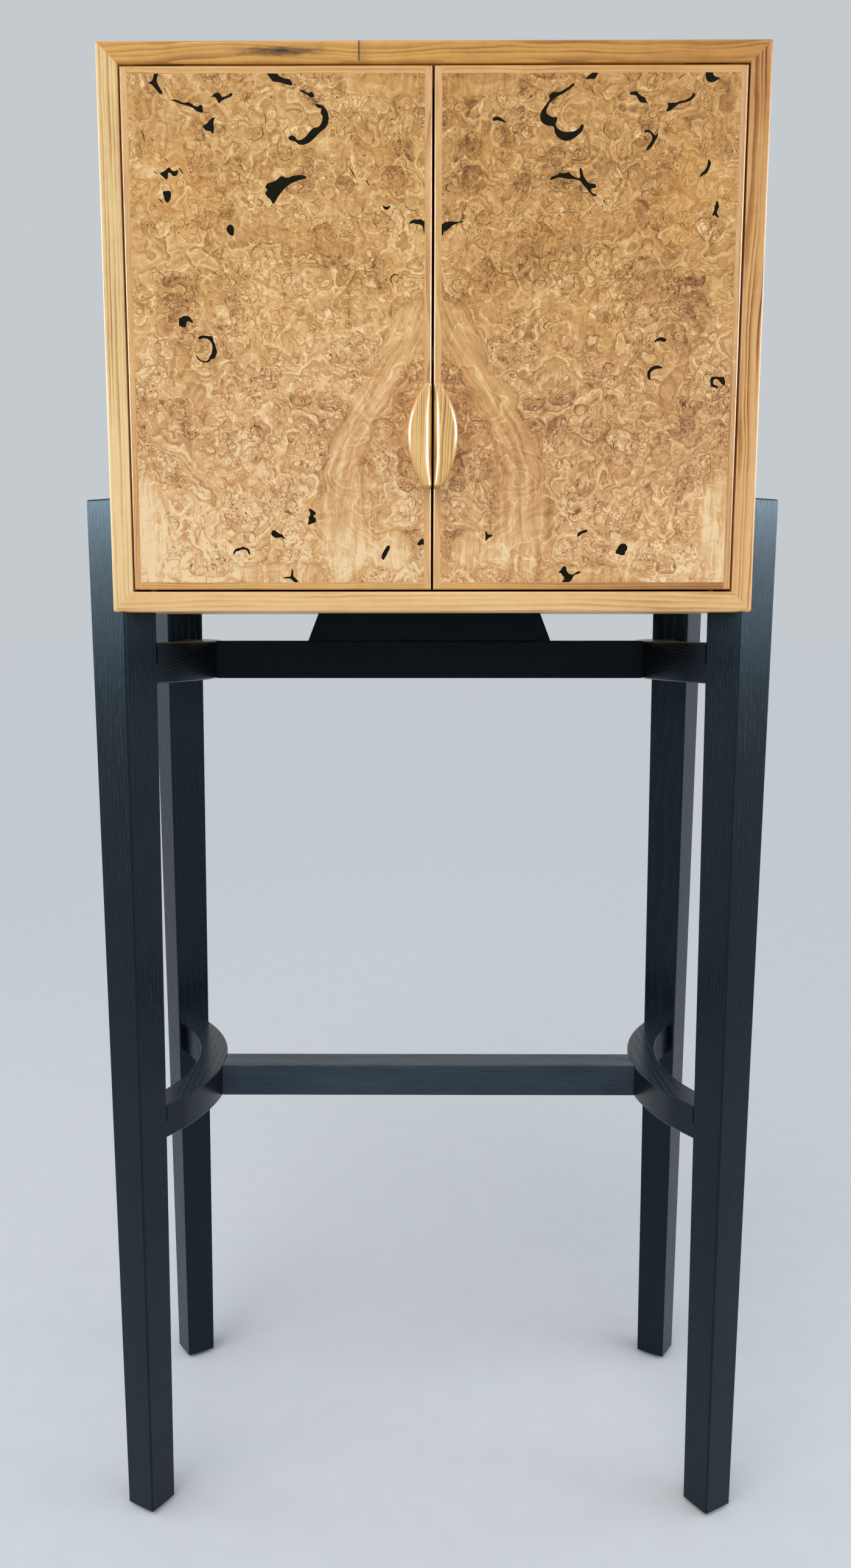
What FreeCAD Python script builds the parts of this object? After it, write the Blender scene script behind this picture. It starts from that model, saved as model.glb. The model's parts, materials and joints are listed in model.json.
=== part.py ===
import FreeCAD, Part
import math
import os

# A two-door cabinet on a tall four-legged stand. Millimetres, +Z up, +X to the viewer's right,
# the doors face -Y. The origin is on the floor, under the middle of the whole object.

V = FreeCAD.Vector

# Case
CASE_W = 610.0
CASE_H = 508.0
CASE_D = 356.0
CASE_Z = 956.0              # underside of the case above the floor
BOARD = 19.5
CASE_ROUND = 2.6            # outer arrises of the case
MOUTH_ROUND = 2.0           # front arrises round the opening
REBATE = 9.0                # the back panel's rebate, across the board
BACK_T = 8.0
BACK_PLAY = 0.25

# Splines across the mitres
SPLINE_T = 5.0
SPLINE_W = 17.0
SPLINE_STOP = 30.0          # the splines stop this far from the front and back edges
SPLINE_SET = 0.62           # centre of a spline from the outer corner, in board thicknesses

# Doors
DOOR_T = 20.0
DOOR_SETBACK = 1.0          # door face behind the case's front edge
GAP_SIDE = 1.5
GAP_TOP = 1.5
GAP_BOTTOM = 2.0
GAP_MEETING = 2.0
LIPPING = 6.8
VENEER = 1.5
DOOR_EASE = 1.1             # chamfer on the door's arrises

# Knife hinges
PIVOT_IN = 18.0             # pivot in from the door's hinge edge
PIVOT_BACK = 6.0            # pivot behind the door's face
LEAF_T = 2.5
LEAF_W = 8.0
LEAF_L = 44.0
PIN_R = 2.0
PIN_PLAY = 0.05
PIN_SHORT = 0.2             # the pin stops this far short of the door leaf's inner face
WASHER_R = 4.0
WASHER_PLAY = 0.25
WASHER_FILL = 0.97          # share of the gap that the washer fills
LEAF_SCREW_AT = (14.0, 32.0)    # along the leaf, from the pivot

# Handles
HANDLE_H = 93.0
HANDLE_W = 22.5
HANDLE_OUT = 19.0
HANDLE_END = 6.5            # width of the flat ends
HANDLE_ROUND = 5.0          # round along the meeting edge
HANDLE_EASE = 2.2           # chamfer along the bowed rim
HANDLE_MID_Z = CASE_Z + 162.0
HANDLE_SCREW_STEP = 44.0

# Shelf
SHELF_T = 14.0
SHELF_Z = CASE_Z + 236.0
SHELF_PLAY = 0.5
SHELF_ROUND = 2.0
SHELF_CLEAR = 2.0           # from the door's inner corner as it swings past
SHELF_PIN_R = 2.5
SHELF_PIN_IN = 8.0
SHELF_PIN_OUT = 9.0
PIN_HOLE_STEP = 32.0
PIN_HOLE_ROWS = 3
PIN_HOLE_SPARE = 1.0        # depth of a hole past the pin
PIN_FROM_FRONT = 70.0
PIN_FROM_BACK = 60.0

# Magnetic catch
CATCH_W = 64.0
CATCH_D = 16.0
CATCH_H = 13.0
CATCH_GAP = 0.3
CATCH_EASE = 1.5
CATCH_SCREW_X = 6.0
CATCH_SCREW_IN = 9.6        # screws behind the front of the block
MAGNET_R = 4.0
MAGNET_T = 4.0
MAGNET_X = 18.0
STRIKE_R = 5.0
STRIKE_T = 1.2

# Stand
LEG_X = 301.0               # leg centre from the middle
LEG_SETBACK = 28.5          # leg centre behind the case's front edge
LEG_TURN = 32.0             # degrees that the square leg is turned outwards
LEG_RISE = 107.0            # leg top above the underside of the case
LEG_FOOT = 35.0             # side of the leg's square at the foot
LEG_HEAD = 46.0
LEG_ROUND = 2.0
LEG_TOP_EASE = 1.6
GLIDE_H = 5.0
GLIDE_R = 9.5
GLIDE_EASE = 1.0

RAIL_T = 32.0
RAIL_EASE = 1.2
RAIL_OVER = 1.2             # degrees that a rail's blank runs on, to be scribed to the leg
UPPER_RAIL_H = 40.0
UPPER_RAIL_TOP = 926.5
LOWER_RAIL_H = 35.0
LOWER_RAIL_TOP = 449.0
STRETCHER_D = 42.0
STRETCHER_OVER = 2.5
TENON_T = 10.0
TENON_H = 24.0
TENON_L = 36.0
STRETCHER_TENON_L = 30.0

BLOCK_BOTTOM_W = 262.0
BLOCK_TOP_W = 239.0
BLOCK_D = 34.0

# Screws: head radius, shank radius, length
SMALL_SCREW = (2.7, 1.3, 11.0)
BACK_SCREW = (3.4, 1.6, 18.0)
CATCH_SCREW = (3.0, 1.5, 22.0)
HANDLE_SCREW = (3.8, 1.8, 31.0)
LEG_SCREW = (4.2, 2.1, 33.0)
BLOCK_SCREW = (5.0, 2.4, 84.0)
BACK_SCREW_STEP = 190.0
LEG_SCREW_UP = (38.0, 84.0)     # above the underside of the case
LEG_SCREW_BACK = 3.0            # behind the leg's centre line
BLOCK_SCREW_X = 85.0

# Small round pieces are drawn with this many sides
SCREW_SIDES = 6
PEG_SIDES = 8
GLIDE_SIDES = 24

OVER = 5.0                  # how far a cutting shape runs past what it cuts

# Worked out from the above
TURN = math.radians(LEG_TURN)
LEG_TOP_Z = CASE_Z + LEG_RISE


def leg_side(z):
    """Side of a leg's square at a height: a straight taper from head to foot."""
    return LEG_FOOT + (LEG_HEAD - LEG_FOOT) * (z - GLIDE_H) / (LEG_TOP_Z - GLIDE_H)


def leg_reach(z):
    """How far a leg's rounded arris stands from its centre line, along X or Y."""
    return (leg_side(z) / 2 - LEG_ROUND) * (math.cos(TURN) + math.sin(TURN)) + LEG_ROUND


ARRIS_PROUD = leg_reach(CASE_Z) - LEG_SETBACK
HANDLE_PROUD = HANDLE_OUT - DOOR_SETBACK
FRONT = -(CASE_D + ARRIS_PROUD - HANDLE_PROUD) / 2      # y of the case's front edges
BACK = FRONT + CASE_D
MID_Y = (FRONT + BACK) / 2
SIDE = CASE_W / 2
IN_X = SIDE - BOARD
CASE_TOP_Z = CASE_Z + CASE_H
FLOOR_Z = CASE_Z + BOARD                                # top of the case's bottom board
ROOF_Z = CASE_TOP_Z - BOARD
LEG_Y = FRONT + LEG_SETBACK

DOOR_Y = FRONT + DOOR_SETBACK
DOOR_BACK_Y = DOOR_Y + DOOR_T
DOOR_OUT_X = IN_X - GAP_SIDE
DOOR_IN_X = GAP_MEETING / 2
DOOR_LOW_Z = FLOOR_Z + GAP_BOTTOM
DOOR_HIGH_Z = ROOF_Z - GAP_TOP
PIVOT_X = DOOR_OUT_X - PIVOT_IN
PIVOT_Y = DOOR_Y + PIVOT_BACK
SHELF_FRONT_Y = PIVOT_Y + math.hypot(PIVOT_IN, DOOR_T - PIVOT_BACK) + SHELF_CLEAR


# Helpers

def box(x0, x1, y0, y1, z0, z1):
    """A box between two corners, given in any order."""
    low = V(min(x0, x1), min(y0, y1), min(z0, z1))
    return Part.makeBox(abs(x1 - x0), abs(y1 - y0), abs(z1 - z0), low)


def skinned(rings):
    """A solid with flat faces through rings of points, closed at both ends. Rings run anticlockwise."""
    outlines = [rings[0][::-1], rings[-1]]
    for low, high in zip(rings, rings[1:]):
        for k in range(len(low)):
            n = (k + 1) % len(low)
            outlines.append([low[k], low[n], high[n], high[k]])
    faces = [Part.Face(Part.makePolygon(points + points[:1])) for points in outlines]
    return Part.makeSolid(Part.makeShell(faces))


def turned(rings, sides):
    """A many-sided turning about +Z through rings of (radius, height)."""
    angles = [2 * math.pi * k / sides for k in range(sides)]
    return skinned([[V(r * math.cos(a), r * math.sin(a), z) for a in angles] for r, z in rings])


def aimed(solid, point, direction):
    """A solid made about +Z, set at a point and turned to a direction."""
    solid.Placement = FreeCAD.Placement(point, FreeCAD.Rotation(V(0, 0, 1), direction))
    return solid


def peg(radius, start, end):
    """A many-sided peg between two points."""
    line = end - start
    return aimed(turned([(radius, 0), (radius, line.Length)], PEG_SIDES), start, line)


def screw(spec, head, direction):
    """A countersunk wood screw: flat head at a point, shank tapering to its tip."""
    head_r, shank_r, length = spec
    rings = [(head_r, 0), (shank_r, head_r - shank_r), (shank_r / 3, length)]
    return aimed(turned(rings, SCREW_SIDES), head, direction)


def mirror_x(shape):
    return shape.mirror(V(0, 0, 0), V(1, 0, 0))


def mirror_y(shape):
    return shape.mirror(V(0, MID_Y, 0), V(0, 1, 0))


def both_sides(shapes):
    """Shapes made for the left, with their mirror images for the right."""
    return shapes + [mirror_x(s) for s in shapes]


def all_corners(shapes):
    """Shapes made for the front left, with their images at the other three corners."""
    return both_sides(shapes + [mirror_y(s) for s in shapes])


def group(shapes):
    return Part.makeCompound(shapes)


def near(a, b):
    return abs(a - b) < 0.01


def edges_at(shape, axis, value):
    """Edges of a shape whose ends both lie at a value along "x", "y" or "z"."""
    return [e for e in shape.Edges if all(near(getattr(v.Point, axis), value) for v in e.Vertexes)]


def long_edges(shape, length):
    return [e for e in shape.Edges if e.Length > length]


# Case

def case_ring():
    """The four case boards as one mitred tube, with its arrises eased and the back rebated."""
    tube = box(-SIDE, SIDE, FRONT, BACK, CASE_Z, CASE_TOP_Z)
    corners = [e for e in tube.Edges if near(e.Length, CASE_D)]
    tube = tube.makeFillet(CASE_ROUND, corners + edges_at(tube, "y", FRONT))
    tube = tube.cut(box(-IN_X, IN_X, FRONT - OVER, BACK + OVER, FLOOR_Z, ROOF_Z))
    mouth = [e for e in edges_at(tube, "y", FRONT)
             if near(abs(e.CenterOfMass.x), IN_X)
             or near(e.CenterOfMass.z, FLOOR_Z) or near(e.CenterOfMass.z, ROOF_Z)]
    tube = tube.makeFillet(MOUTH_ROUND, mouth)
    return tube.cut(box(-IN_X - REBATE, IN_X + REBATE, BACK - BACK_T, BACK + OVER,
                        FLOOR_Z - REBATE, ROOF_Z + REBATE))


def mitre_wedge(name):
    """The part of space that belongs to one board, bounded by its two mitre planes."""
    reach = CASE_H / 2 + OVER
    ridge = (CASE_W - CASE_H) / 2
    mid = CASE_Z + CASE_H / 2
    high = [(-ridge - reach, mid + reach), (-ridge, mid), (ridge, mid), (ridge + reach, mid + reach)]
    low = [(x, 2 * mid - z) for x, z in high]
    outlines = {"top": high, "bottom": low,
                "left": [low[0], low[1], high[0]], "right": [low[3], low[2], high[3]]}
    points = [V(x, FRONT - OVER, z) for x, z in outlines[name]]
    return Part.Face(Part.makePolygon(points + points[:1])).extrude(V(0, CASE_D + 2 * OVER, 0))


def case_splines():
    """Tongues glued across the four mitres, set nearer the inside of each corner."""
    tongues = []
    inset = BOARD * SPLINE_SET
    for sx in (-1, 1):
        for sz, corner_z in ((-1, CASE_Z + inset), (1, CASE_TOP_Z - inset)):
            tongue = box(-SPLINE_W / 2, SPLINE_W / 2, FRONT + SPLINE_STOP, BACK - SPLINE_STOP,
                         -SPLINE_T / 2, SPLINE_T / 2)
            tongue.rotate(V(0, 0, 0), V(0, 1, 0), 45 * sx * sz)
            tongue.translate(V(sx * (SIDE - inset), 0, corner_z))
            tongues.append(tongue)
    return group(tongues)


def back_panel():
    """The panel that lies in the rebate."""
    half_w = IN_X + REBATE - BACK_PLAY
    return box(-half_w, half_w, BACK - BACK_T, BACK,
               FLOOR_Z - REBATE + BACK_PLAY, ROOF_Z + REBATE - BACK_PLAY)


def back_screws():
    """Screws that hold the back panel: three up each side, one at the top and the bottom."""
    line = IN_X + REBATE / 2
    mid_z = (FLOOR_Z + ROOF_Z) / 2
    points = [(sx * line, mid_z + k * BACK_SCREW_STEP) for sx in (-1, 1) for k in (-1, 0, 1)]
    points += [(0, FLOOR_Z - REBATE / 2), (0, ROOF_Z + REBATE / 2)]
    return group([screw(BACK_SCREW, V(x, BACK, z), V(0, -1, 0)) for x, z in points])


def shelf():
    """The loose shelf, with its front arrises rounded."""
    board = box(-IN_X + SHELF_PLAY, IN_X - SHELF_PLAY, SHELF_FRONT_Y, BACK - BACK_T - SHELF_PLAY,
                SHELF_Z, SHELF_Z + SHELF_T)
    front = [e for e in edges_at(board, "y", SHELF_FRONT_Y) if e.Length > SHELF_T + OVER]
    return board.makeFillet(SHELF_ROUND, front)


def shelf_peg(y, z, depth, proud):
    """A peg on the left side's inner face, for a pin or for its hole."""
    return peg(SHELF_PIN_R, V(-IN_X - depth, y, z), V(-IN_X + proud, y, z))


def shelf_pins():
    """The four pins under the shelf, and three rows of holes that it can be moved to."""
    columns = (FRONT + PIN_FROM_FRONT, BACK - PIN_FROM_BACK)
    used_z = SHELF_Z - SHELF_PIN_R
    rows = [used_z + (k - PIN_HOLE_ROWS // 2) * PIN_HOLE_STEP for k in range(PIN_HOLE_ROWS)]
    pins = [shelf_peg(y, used_z, SHELF_PIN_IN, SHELF_PIN_OUT) for y in columns]
    holes = [shelf_peg(y, z, SHELF_PIN_IN + PIN_HOLE_SPARE, OVER) for y in columns for z in rows]
    return group(both_sides(pins)), group(both_sides(holes))


# Doors, made for the left

def lipping_frame():
    """The door's solid edging as one eased frame."""
    frame = box(-DOOR_OUT_X, -DOOR_IN_X, DOOR_Y, DOOR_BACK_Y, DOOR_LOW_Z, DOOR_HIGH_Z)
    rims = edges_at(frame, "y", DOOR_Y) + edges_at(frame, "y", DOOR_BACK_Y)
    return frame.makeChamfer(DOOR_EASE, rims).cut(door_field(DOOR_Y - OVER, DOOR_BACK_Y + OVER))


def door_field(y0, y1):
    """A sheet or slab that fills the lipping frame between two depths."""
    return box(-DOOR_OUT_X + LIPPING, -DOOR_IN_X - LIPPING, y0, y1,
               DOOR_LOW_Z + LIPPING, DOOR_HIGH_Z - LIPPING)


def door_lippings():
    """The four edgings: the uprights run through, the short ones butt between them."""
    frame = lipping_frame()
    tall = (DOOR_Y - OVER, DOOR_BACK_Y + OVER, DOOR_LOW_Z - OVER, DOOR_HIGH_Z + OVER)
    outer = box(-DOOR_OUT_X - OVER, -DOOR_OUT_X + LIPPING, *tall)
    meeting = box(-DOOR_IN_X - LIPPING, 0, *tall)
    pieces = {"hinge": frame.common(outer), "meeting": frame.common(meeting)}
    half = (DOOR_LOW_Z + DOOR_HIGH_Z) / 2
    for solid in frame.cut(outer).cut(meeting).Solids:
        pieces["top" if solid.CenterOfMass.z > half else "bottom"] = solid
    return pieces


def handle():
    """Half of a pointed oval: straight along the meeting edge, bowed away from it."""
    half = HANDLE_H / 2
    inner = [V(-DOOR_IN_X, 0, s * half) for s in (-1, 1)]
    ends = [point - V(HANDLE_END, 0, 0) for point in inner]
    bow = V(-DOOR_IN_X - HANDLE_W, 0, 0)
    outline = Part.Wire([
        Part.LineSegment(inner[0], ends[0]).toShape(),
        Part.Arc(ends[0], bow, ends[1]).toShape(),
        Part.LineSegment(ends[1], inner[1]).toShape(),
        Part.LineSegment(inner[1], inner[0]).toShape()])
    solid = Part.Face(outline).extrude(V(0, -HANDLE_OUT, 0))
    rim = [e for e in edges_at(solid, "y", -HANDLE_OUT) if not near(e.CenterOfMass.x, -DOOR_IN_X)]
    solid = solid.makeChamfer(HANDLE_EASE, rim)
    meeting = [e for e in edges_at(solid, "y", -HANDLE_OUT) if near(e.CenterOfMass.x, -DOOR_IN_X)]
    solid = solid.makeFillet(HANDLE_ROUND, meeting)
    solid.translate(V(0, DOOR_Y, HANDLE_MID_Z))
    return solid


def handle_screws():
    """Two screws from inside the door into its handle."""
    x = -DOOR_IN_X - HANDLE_W / 2
    heights = [HANDLE_MID_Z + side * HANDLE_SCREW_STEP / 2 for side in (-1, 1)]
    return group([screw(HANDLE_SCREW, V(x, DOOR_BACK_Y, z), V(0, -1, 0)) for z in heights])


# Hinges, made for the left

def leaf_blank(z_face, towards):
    """A hinge leaf let into a face; also the recess for it."""
    end_x = -PIVOT_X - LEAF_W / 2
    return box(end_x, end_x + LEAF_L, PIVOT_Y - LEAF_W / 2, PIVOT_Y + LEAF_W / 2,
               z_face, z_face + towards * LEAF_T)


def pivot_rod(radius, z0, z1):
    """A round rod on the door's turning axis."""
    return Part.makeCylinder(radius, abs(z1 - z0), V(-PIVOT_X, PIVOT_Y, min(z0, z1)))


def pivot_washer(z0, z1):
    """A washer round the pin, between two heights."""
    foot = V(-PIVOT_X, PIVOT_Y, min(z0, z1))
    rise = V(0, 0, abs(z1 - z0))
    bore_r = (PIN_R + WASHER_PLAY) / math.cos(math.pi / PEG_SIDES)
    return peg(WASHER_R, foot, foot + rise).cut(peg(bore_r, foot - rise, foot + rise * 2))


def leaf_screws(z_face, towards):
    """The two screws of a leaf, driven into the wood that it is let into."""
    return [screw(SMALL_SCREW, V(-PIVOT_X + at, PIVOT_Y, z_face), V(0, 0, towards))
            for at in LEAF_SCREW_AT]


def hinge_parts():
    """Leaves, recesses, screws and washers of one door's lower and upper hinge."""
    parts = {name: [] for name in ("case_leaves", "door_leaves", "recesses", "case_screws",
                                   "door_screws", "washers")}
    for case_z, door_z, up in ((FLOOR_Z, DOOR_LOW_Z, 1), (ROOF_Z, DOOR_HIGH_Z, -1)):
        recess = leaf_blank(door_z, up)
        hole = pivot_rod(PIN_R + PIN_PLAY, door_z - up, door_z + up * (LEAF_T + 1))
        pin = pivot_rod(PIN_R, case_z, door_z + up * (LEAF_T - PIN_SHORT))
        parts["case_leaves"].append(leaf_blank(case_z, -up).fuse(pin))
        parts["door_leaves"].append(recess.cut(hole))
        parts["recesses"].append(recess)
        parts["case_screws"] += leaf_screws(case_z, -up)
        parts["door_screws"] += leaf_screws(door_z, up)
        parts["washers"].append(pivot_washer(case_z, case_z + (door_z - case_z) * WASHER_FILL))
    return parts


# Catch

def catch_block():
    """The block under the case's top board that stops the doors and holds the magnets."""
    front_y = DOOR_BACK_Y + CATCH_GAP
    block = box(-CATCH_W / 2, CATCH_W / 2, front_y, front_y + CATCH_D, ROOF_Z - CATCH_H, ROOF_Z)
    return block.makeChamfer(CATCH_EASE, edges_at(block, "z", ROOF_Z - CATCH_H))


def catch_magnets():
    """One round magnet in the block for each door."""
    front = V(-MAGNET_X, DOOR_BACK_Y + CATCH_GAP, ROOF_Z - CATCH_H / 2)
    return group(both_sides([peg(MAGNET_R, front, front + V(0, MAGNET_T, 0))]))


def catch_screws():
    """Two screws up through the block."""
    y = DOOR_BACK_Y + CATCH_GAP + CATCH_SCREW_IN
    head = V(-CATCH_SCREW_X, y, ROOF_Z - CATCH_H)
    return group(both_sides([screw(CATCH_SCREW, head, V(0, 0, 1))]))


def strike():
    """The steel disc let into the inside of the left door, facing its magnet."""
    face = V(-MAGNET_X, DOOR_BACK_Y, ROOF_Z - CATCH_H / 2)
    return peg(STRIKE_R, face - V(0, STRIKE_T, 0), face)


# Stand, made for the front left

def leg_corner(sx, sy, z):
    """A corner of the leg's square section at a height, turned outwards."""
    half = leg_side(z) / 2
    spoke = FreeCAD.Rotation(V(0, 0, 1), -LEG_TURN).multVec(V(sx * half, sy * half, z))
    return V(-LEG_X, LEG_Y, 0) + spoke


def leg_stock():
    """The tapered square leg with sharp arrises, before its notch."""
    corners = ((1, 1), (-1, 1), (-1, -1), (1, -1))
    return skinned([[leg_corner(sx, sy, z) for sx, sy in corners] for z in (GLIDE_H, LEG_TOP_Z)])


def leg():
    """Front left leg: tapered, eased, notched so that the case's corner sits on its ledge."""
    solid = leg_stock()
    solid = solid.makeFillet(LEG_ROUND, long_edges(solid, CASE_Z))
    solid = solid.makeChamfer(LEG_TOP_EASE, edges_at(solid, "z", LEG_TOP_Z))
    notch = box(-SIDE, 0, FRONT - CASE_D / 2, BACK, CASE_Z, LEG_TOP_Z + OVER)
    return solid.cut(notch)


def leg_screws():
    """Screws from inside the case sides into the legs' cheeks."""
    heads = [V(-IN_X, LEG_Y + LEG_SCREW_BACK, CASE_Z + up) for up in LEG_SCREW_UP]
    return group(all_corners([screw(LEG_SCREW, head, V(-1, 0, 0)) for head in heads]))


def rail_arc(top_z, height):
    """Plan centre, convex radius and apex x of a curved rail, tangent to the legs' inner faces."""
    h = leg_side(top_z - height / 2) / 2
    inner_x = -LEG_X + h * (math.cos(TURN) + math.sin(TURN))
    inner_y = LEG_Y + h * (math.cos(TURN) - math.sin(TURN))
    radius = (MID_Y - inner_y) / math.sin(TURN)
    apex_x = inner_x + radius * (1 - math.cos(TURN))
    return V(apex_x - radius, MID_Y, 0), radius, apex_x


def curved_rail(top_z, height):
    """Left curved rail: it springs from the front leg, bows inwards and ends at the back leg."""
    centre, radius, _ = rail_arc(top_z, height)
    sweep = TURN + math.radians(RAIL_OVER)

    def at(r, angle):
        return centre + V(r * math.cos(angle), r * math.sin(angle), top_z - height)

    inner_r = radius - RAIL_T
    convex = Part.Arc(at(radius, -sweep), at(radius, 0), at(radius, sweep)).toShape()
    concave = Part.Arc(at(inner_r, sweep), at(inner_r, 0), at(inner_r, -sweep)).toShape()
    ends = [Part.LineSegment(at(radius, a), at(inner_r, a)).toShape() for a in (-sweep, sweep)]
    band = Part.Face(Part.Wire([convex, ends[1], concave, ends[0]])).extrude(V(0, 0, height))
    band = band.makeChamfer(RAIL_EASE, long_edges(band, radius / 2))
    return band.cut(leg_stock()).cut(mirror_y(leg_stock()))


def rail_tenons(top_z, height):
    """Loose tenons of the left curved rail, front and back, square to the legs' faces."""
    centre, radius, _ = rail_arc(top_z, height)
    r = radius - RAIL_T / 2
    mid_z = top_z - height / 2
    tenon = box(r - TENON_T / 2, r + TENON_T / 2, -TENON_L / 2, TENON_L / 2,
                mid_z - TENON_H / 2, mid_z + TENON_H / 2)
    tenon.rotate(V(0, 0, 0), V(0, 0, 1), -LEG_TURN)
    tenon.translate(centre)
    return [tenon, mirror_y(tenon)]


def stretcher(top_z, height):
    """Straight stretcher between the apexes of the two curved rails, scribed to them."""
    centre, radius, apex_x = rail_arc(top_z, height)
    reach = STRETCHER_OVER - apex_x
    bar = box(-reach, reach, MID_Y - STRETCHER_D / 2, MID_Y + STRETCHER_D / 2,
              top_z - height, top_z)
    bar = bar.makeChamfer(RAIL_EASE, long_edges(bar, reach))
    low = centre + V(0, 0, top_z - height - OVER)
    scribe = Part.makeCylinder(radius, height + 2 * OVER, low)
    return bar.cut(scribe).cut(mirror_x(scribe))


def stretcher_tenons(top_z, height):
    """Loose tenons between a stretcher and the two curved rails."""
    _, _, apex_x = rail_arc(top_z, height)
    mid_z = top_z - height / 2
    half_l = STRETCHER_TENON_L / 2
    return both_sides([box(apex_x - half_l, apex_x + half_l, MID_Y - TENON_T / 2,
                           MID_Y + TENON_T / 2, mid_z - TENON_H / 2, mid_z + TENON_H / 2)])


def support_block():
    """Trapezoid block that stands on the upper stretcher and carries the middle of the case."""
    low, high = BLOCK_BOTTOM_W / 2, BLOCK_TOP_W / 2
    corners = ((-low, UPPER_RAIL_TOP), (low, UPPER_RAIL_TOP), (high, CASE_Z), (-high, CASE_Z))
    outline = [V(x, MID_Y - BLOCK_D / 2, z) for x, z in corners]
    return Part.Face(Part.makePolygon(outline + outline[:1])).extrude(V(0, BLOCK_D, 0))


def block_screws():
    """Screws up through the upper stretcher and the block into the case."""
    head = V(-BLOCK_SCREW_X, MID_Y, UPPER_RAIL_TOP - UPPER_RAIL_H)
    return group(both_sides([screw(BLOCK_SCREW, head, V(0, 0, 1))]))


def glides():
    """Round glides under the four feet, with an eased lower rim."""
    rings = [(GLIDE_R - GLIDE_EASE, 0), (GLIDE_R, GLIDE_EASE), (GLIDE_R, GLIDE_H)]
    return group(all_corners([aimed(turned(rings, GLIDE_SIDES), V(-LEG_X, LEG_Y, 0), V(0, 0, 1))]))


# Assembly

def case_nodes(hinges):
    """The case, its back, shelf and catch, and the fixed halves of the hinges."""
    leaves = group(both_sides(hinges["case_leaves"]))
    leaf_screw_set = group(both_sides(hinges["case_screws"]))
    splines = case_splines()
    pins, pin_holes = shelf_pins()
    magnets = catch_magnets()
    let_in = {
        "top": [leaves, leaf_screw_set, catch_screws()],
        "bottom": [leaves, leaf_screw_set, block_screws()],
        "left_side": [pin_holes, leg_screws()],
        "right_side": [pin_holes, leg_screws()],
    }
    nodes = {}
    ring = case_ring()
    for board, parts in let_in.items():
        solid = ring.common(mitre_wedge(board.split("_")[0]))
        for part in parts + [splines, back_screws()]:
            solid = solid.cut(part)
        nodes["case_" + board] = solid
    nodes["case_mitre_splines"] = splines
    nodes["back_panel"] = back_panel().cut(back_screws())
    nodes["back_panel_screws"] = back_screws()
    nodes["shelf"] = shelf()
    nodes["shelf_pins"] = pins
    nodes["hinge_case_leaves"] = leaves.cut(leaf_screw_set)
    nodes["hinge_case_screws"] = leaf_screw_set
    nodes["hinge_washers"] = group(both_sides(hinges["washers"]))
    nodes["catch_block"] = catch_block().cut(magnets).cut(catch_screws())
    nodes["catch_magnets"] = magnets
    nodes["catch_screws"] = catch_screws()
    return nodes


def left_door_nodes(hinges):
    """Every piece of the left door."""
    leaf_screw_set = group(hinges["door_screws"])
    recesses = group(hinges["recesses"])
    grips = handle_screws()
    nodes = {}
    for place, solid in door_lippings().items():
        nodes["lipping_" + place] = solid.cut(recesses).cut(leaf_screw_set).cut(strike())
    core = door_field(DOOR_Y + VENEER, DOOR_BACK_Y - VENEER)
    inside = door_field(DOOR_BACK_Y - VENEER, DOOR_BACK_Y)
    nodes["core"] = core.cut(leaf_screw_set).cut(grips)
    nodes["burl_veneer"] = door_field(DOOR_Y, DOOR_Y + VENEER).cut(grips)
    nodes["inside_veneer"] = inside.cut(grips).cut(strike())
    nodes["handle"] = handle().cut(grips)
    nodes["handle_screws"] = grips
    nodes["hinge_leaves"] = group(hinges["door_leaves"]).cut(leaf_screw_set)
    nodes["hinge_screws"] = leaf_screw_set
    nodes["strike"] = strike()
    return nodes


def stand_nodes():
    """Legs, curved rails, stretchers and what joins them."""
    nodes = {}
    tenons = []
    front_left = leg().cut(leg_screws())
    for level, top_z, height in (("upper", UPPER_RAIL_TOP, UPPER_RAIL_H),
                                 ("lower", LOWER_RAIL_TOP, LOWER_RAIL_H)):
        joint = rail_tenons(top_z, height)
        bridge = stretcher_tenons(top_z, height)
        rail = curved_rail(top_z, height).cut(group(joint + bridge[:1]))
        nodes["side_rail_left_" + level] = rail
        nodes["side_rail_right_" + level] = mirror_x(rail)
        nodes["stretcher_" + level] = stretcher(top_z, height).cut(group(bridge))
        front_left = front_left.cut(joint[0])
        tenons += both_sides(joint) + bridge
    nodes["stretcher_upper"] = nodes["stretcher_upper"].cut(block_screws())
    nodes["leg_front_left"] = front_left
    nodes["leg_front_right"] = mirror_x(front_left)
    nodes["leg_back_left"] = mirror_y(front_left)
    nodes["leg_back_right"] = mirror_x(mirror_y(front_left))
    nodes["stand_tenons"] = group(tenons)
    nodes["support_block"] = support_block().cut(block_screws())
    nodes["support_block_screws"] = block_screws()
    nodes["leg_screws"] = leg_screws()
    nodes["foot_glides"] = glides()
    return nodes


def build():
    """All nodes by name; the right door is the left one's mirror image."""
    hinges = hinge_parts()
    nodes = case_nodes(hinges)
    for name, shape in left_door_nodes(hinges).items():
        nodes["door_left_" + name] = shape
        nodes["door_right_" + name] = mirror_x(shape)
    nodes.update(stand_nodes())
    return nodes


def export(nodes):
    """One file per node, and a line about each."""
    os.makedirs("parts", exist_ok=True)
    for name, shape in nodes.items():
        solids = shape.Solids
        shape = solids[0] if len(solids) == 1 else group(solids)
        if not shape.isValid():
            print("not valid:", name)
        shape.exportStep("parts/" + name + ".step")
        bounds = shape.BoundBox
        print(f"{name:32s} solids {len(solids)}  volume {shape.Volume / 1000:9.2f} cm3  "
              f"z {bounds.ZMin:.2f}..{bounds.ZMax:.2f}")


export(build())
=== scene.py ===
import json
import math

import bmesh
import bpy
import numpy as np
from mathutils import Matrix, Vector

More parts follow.
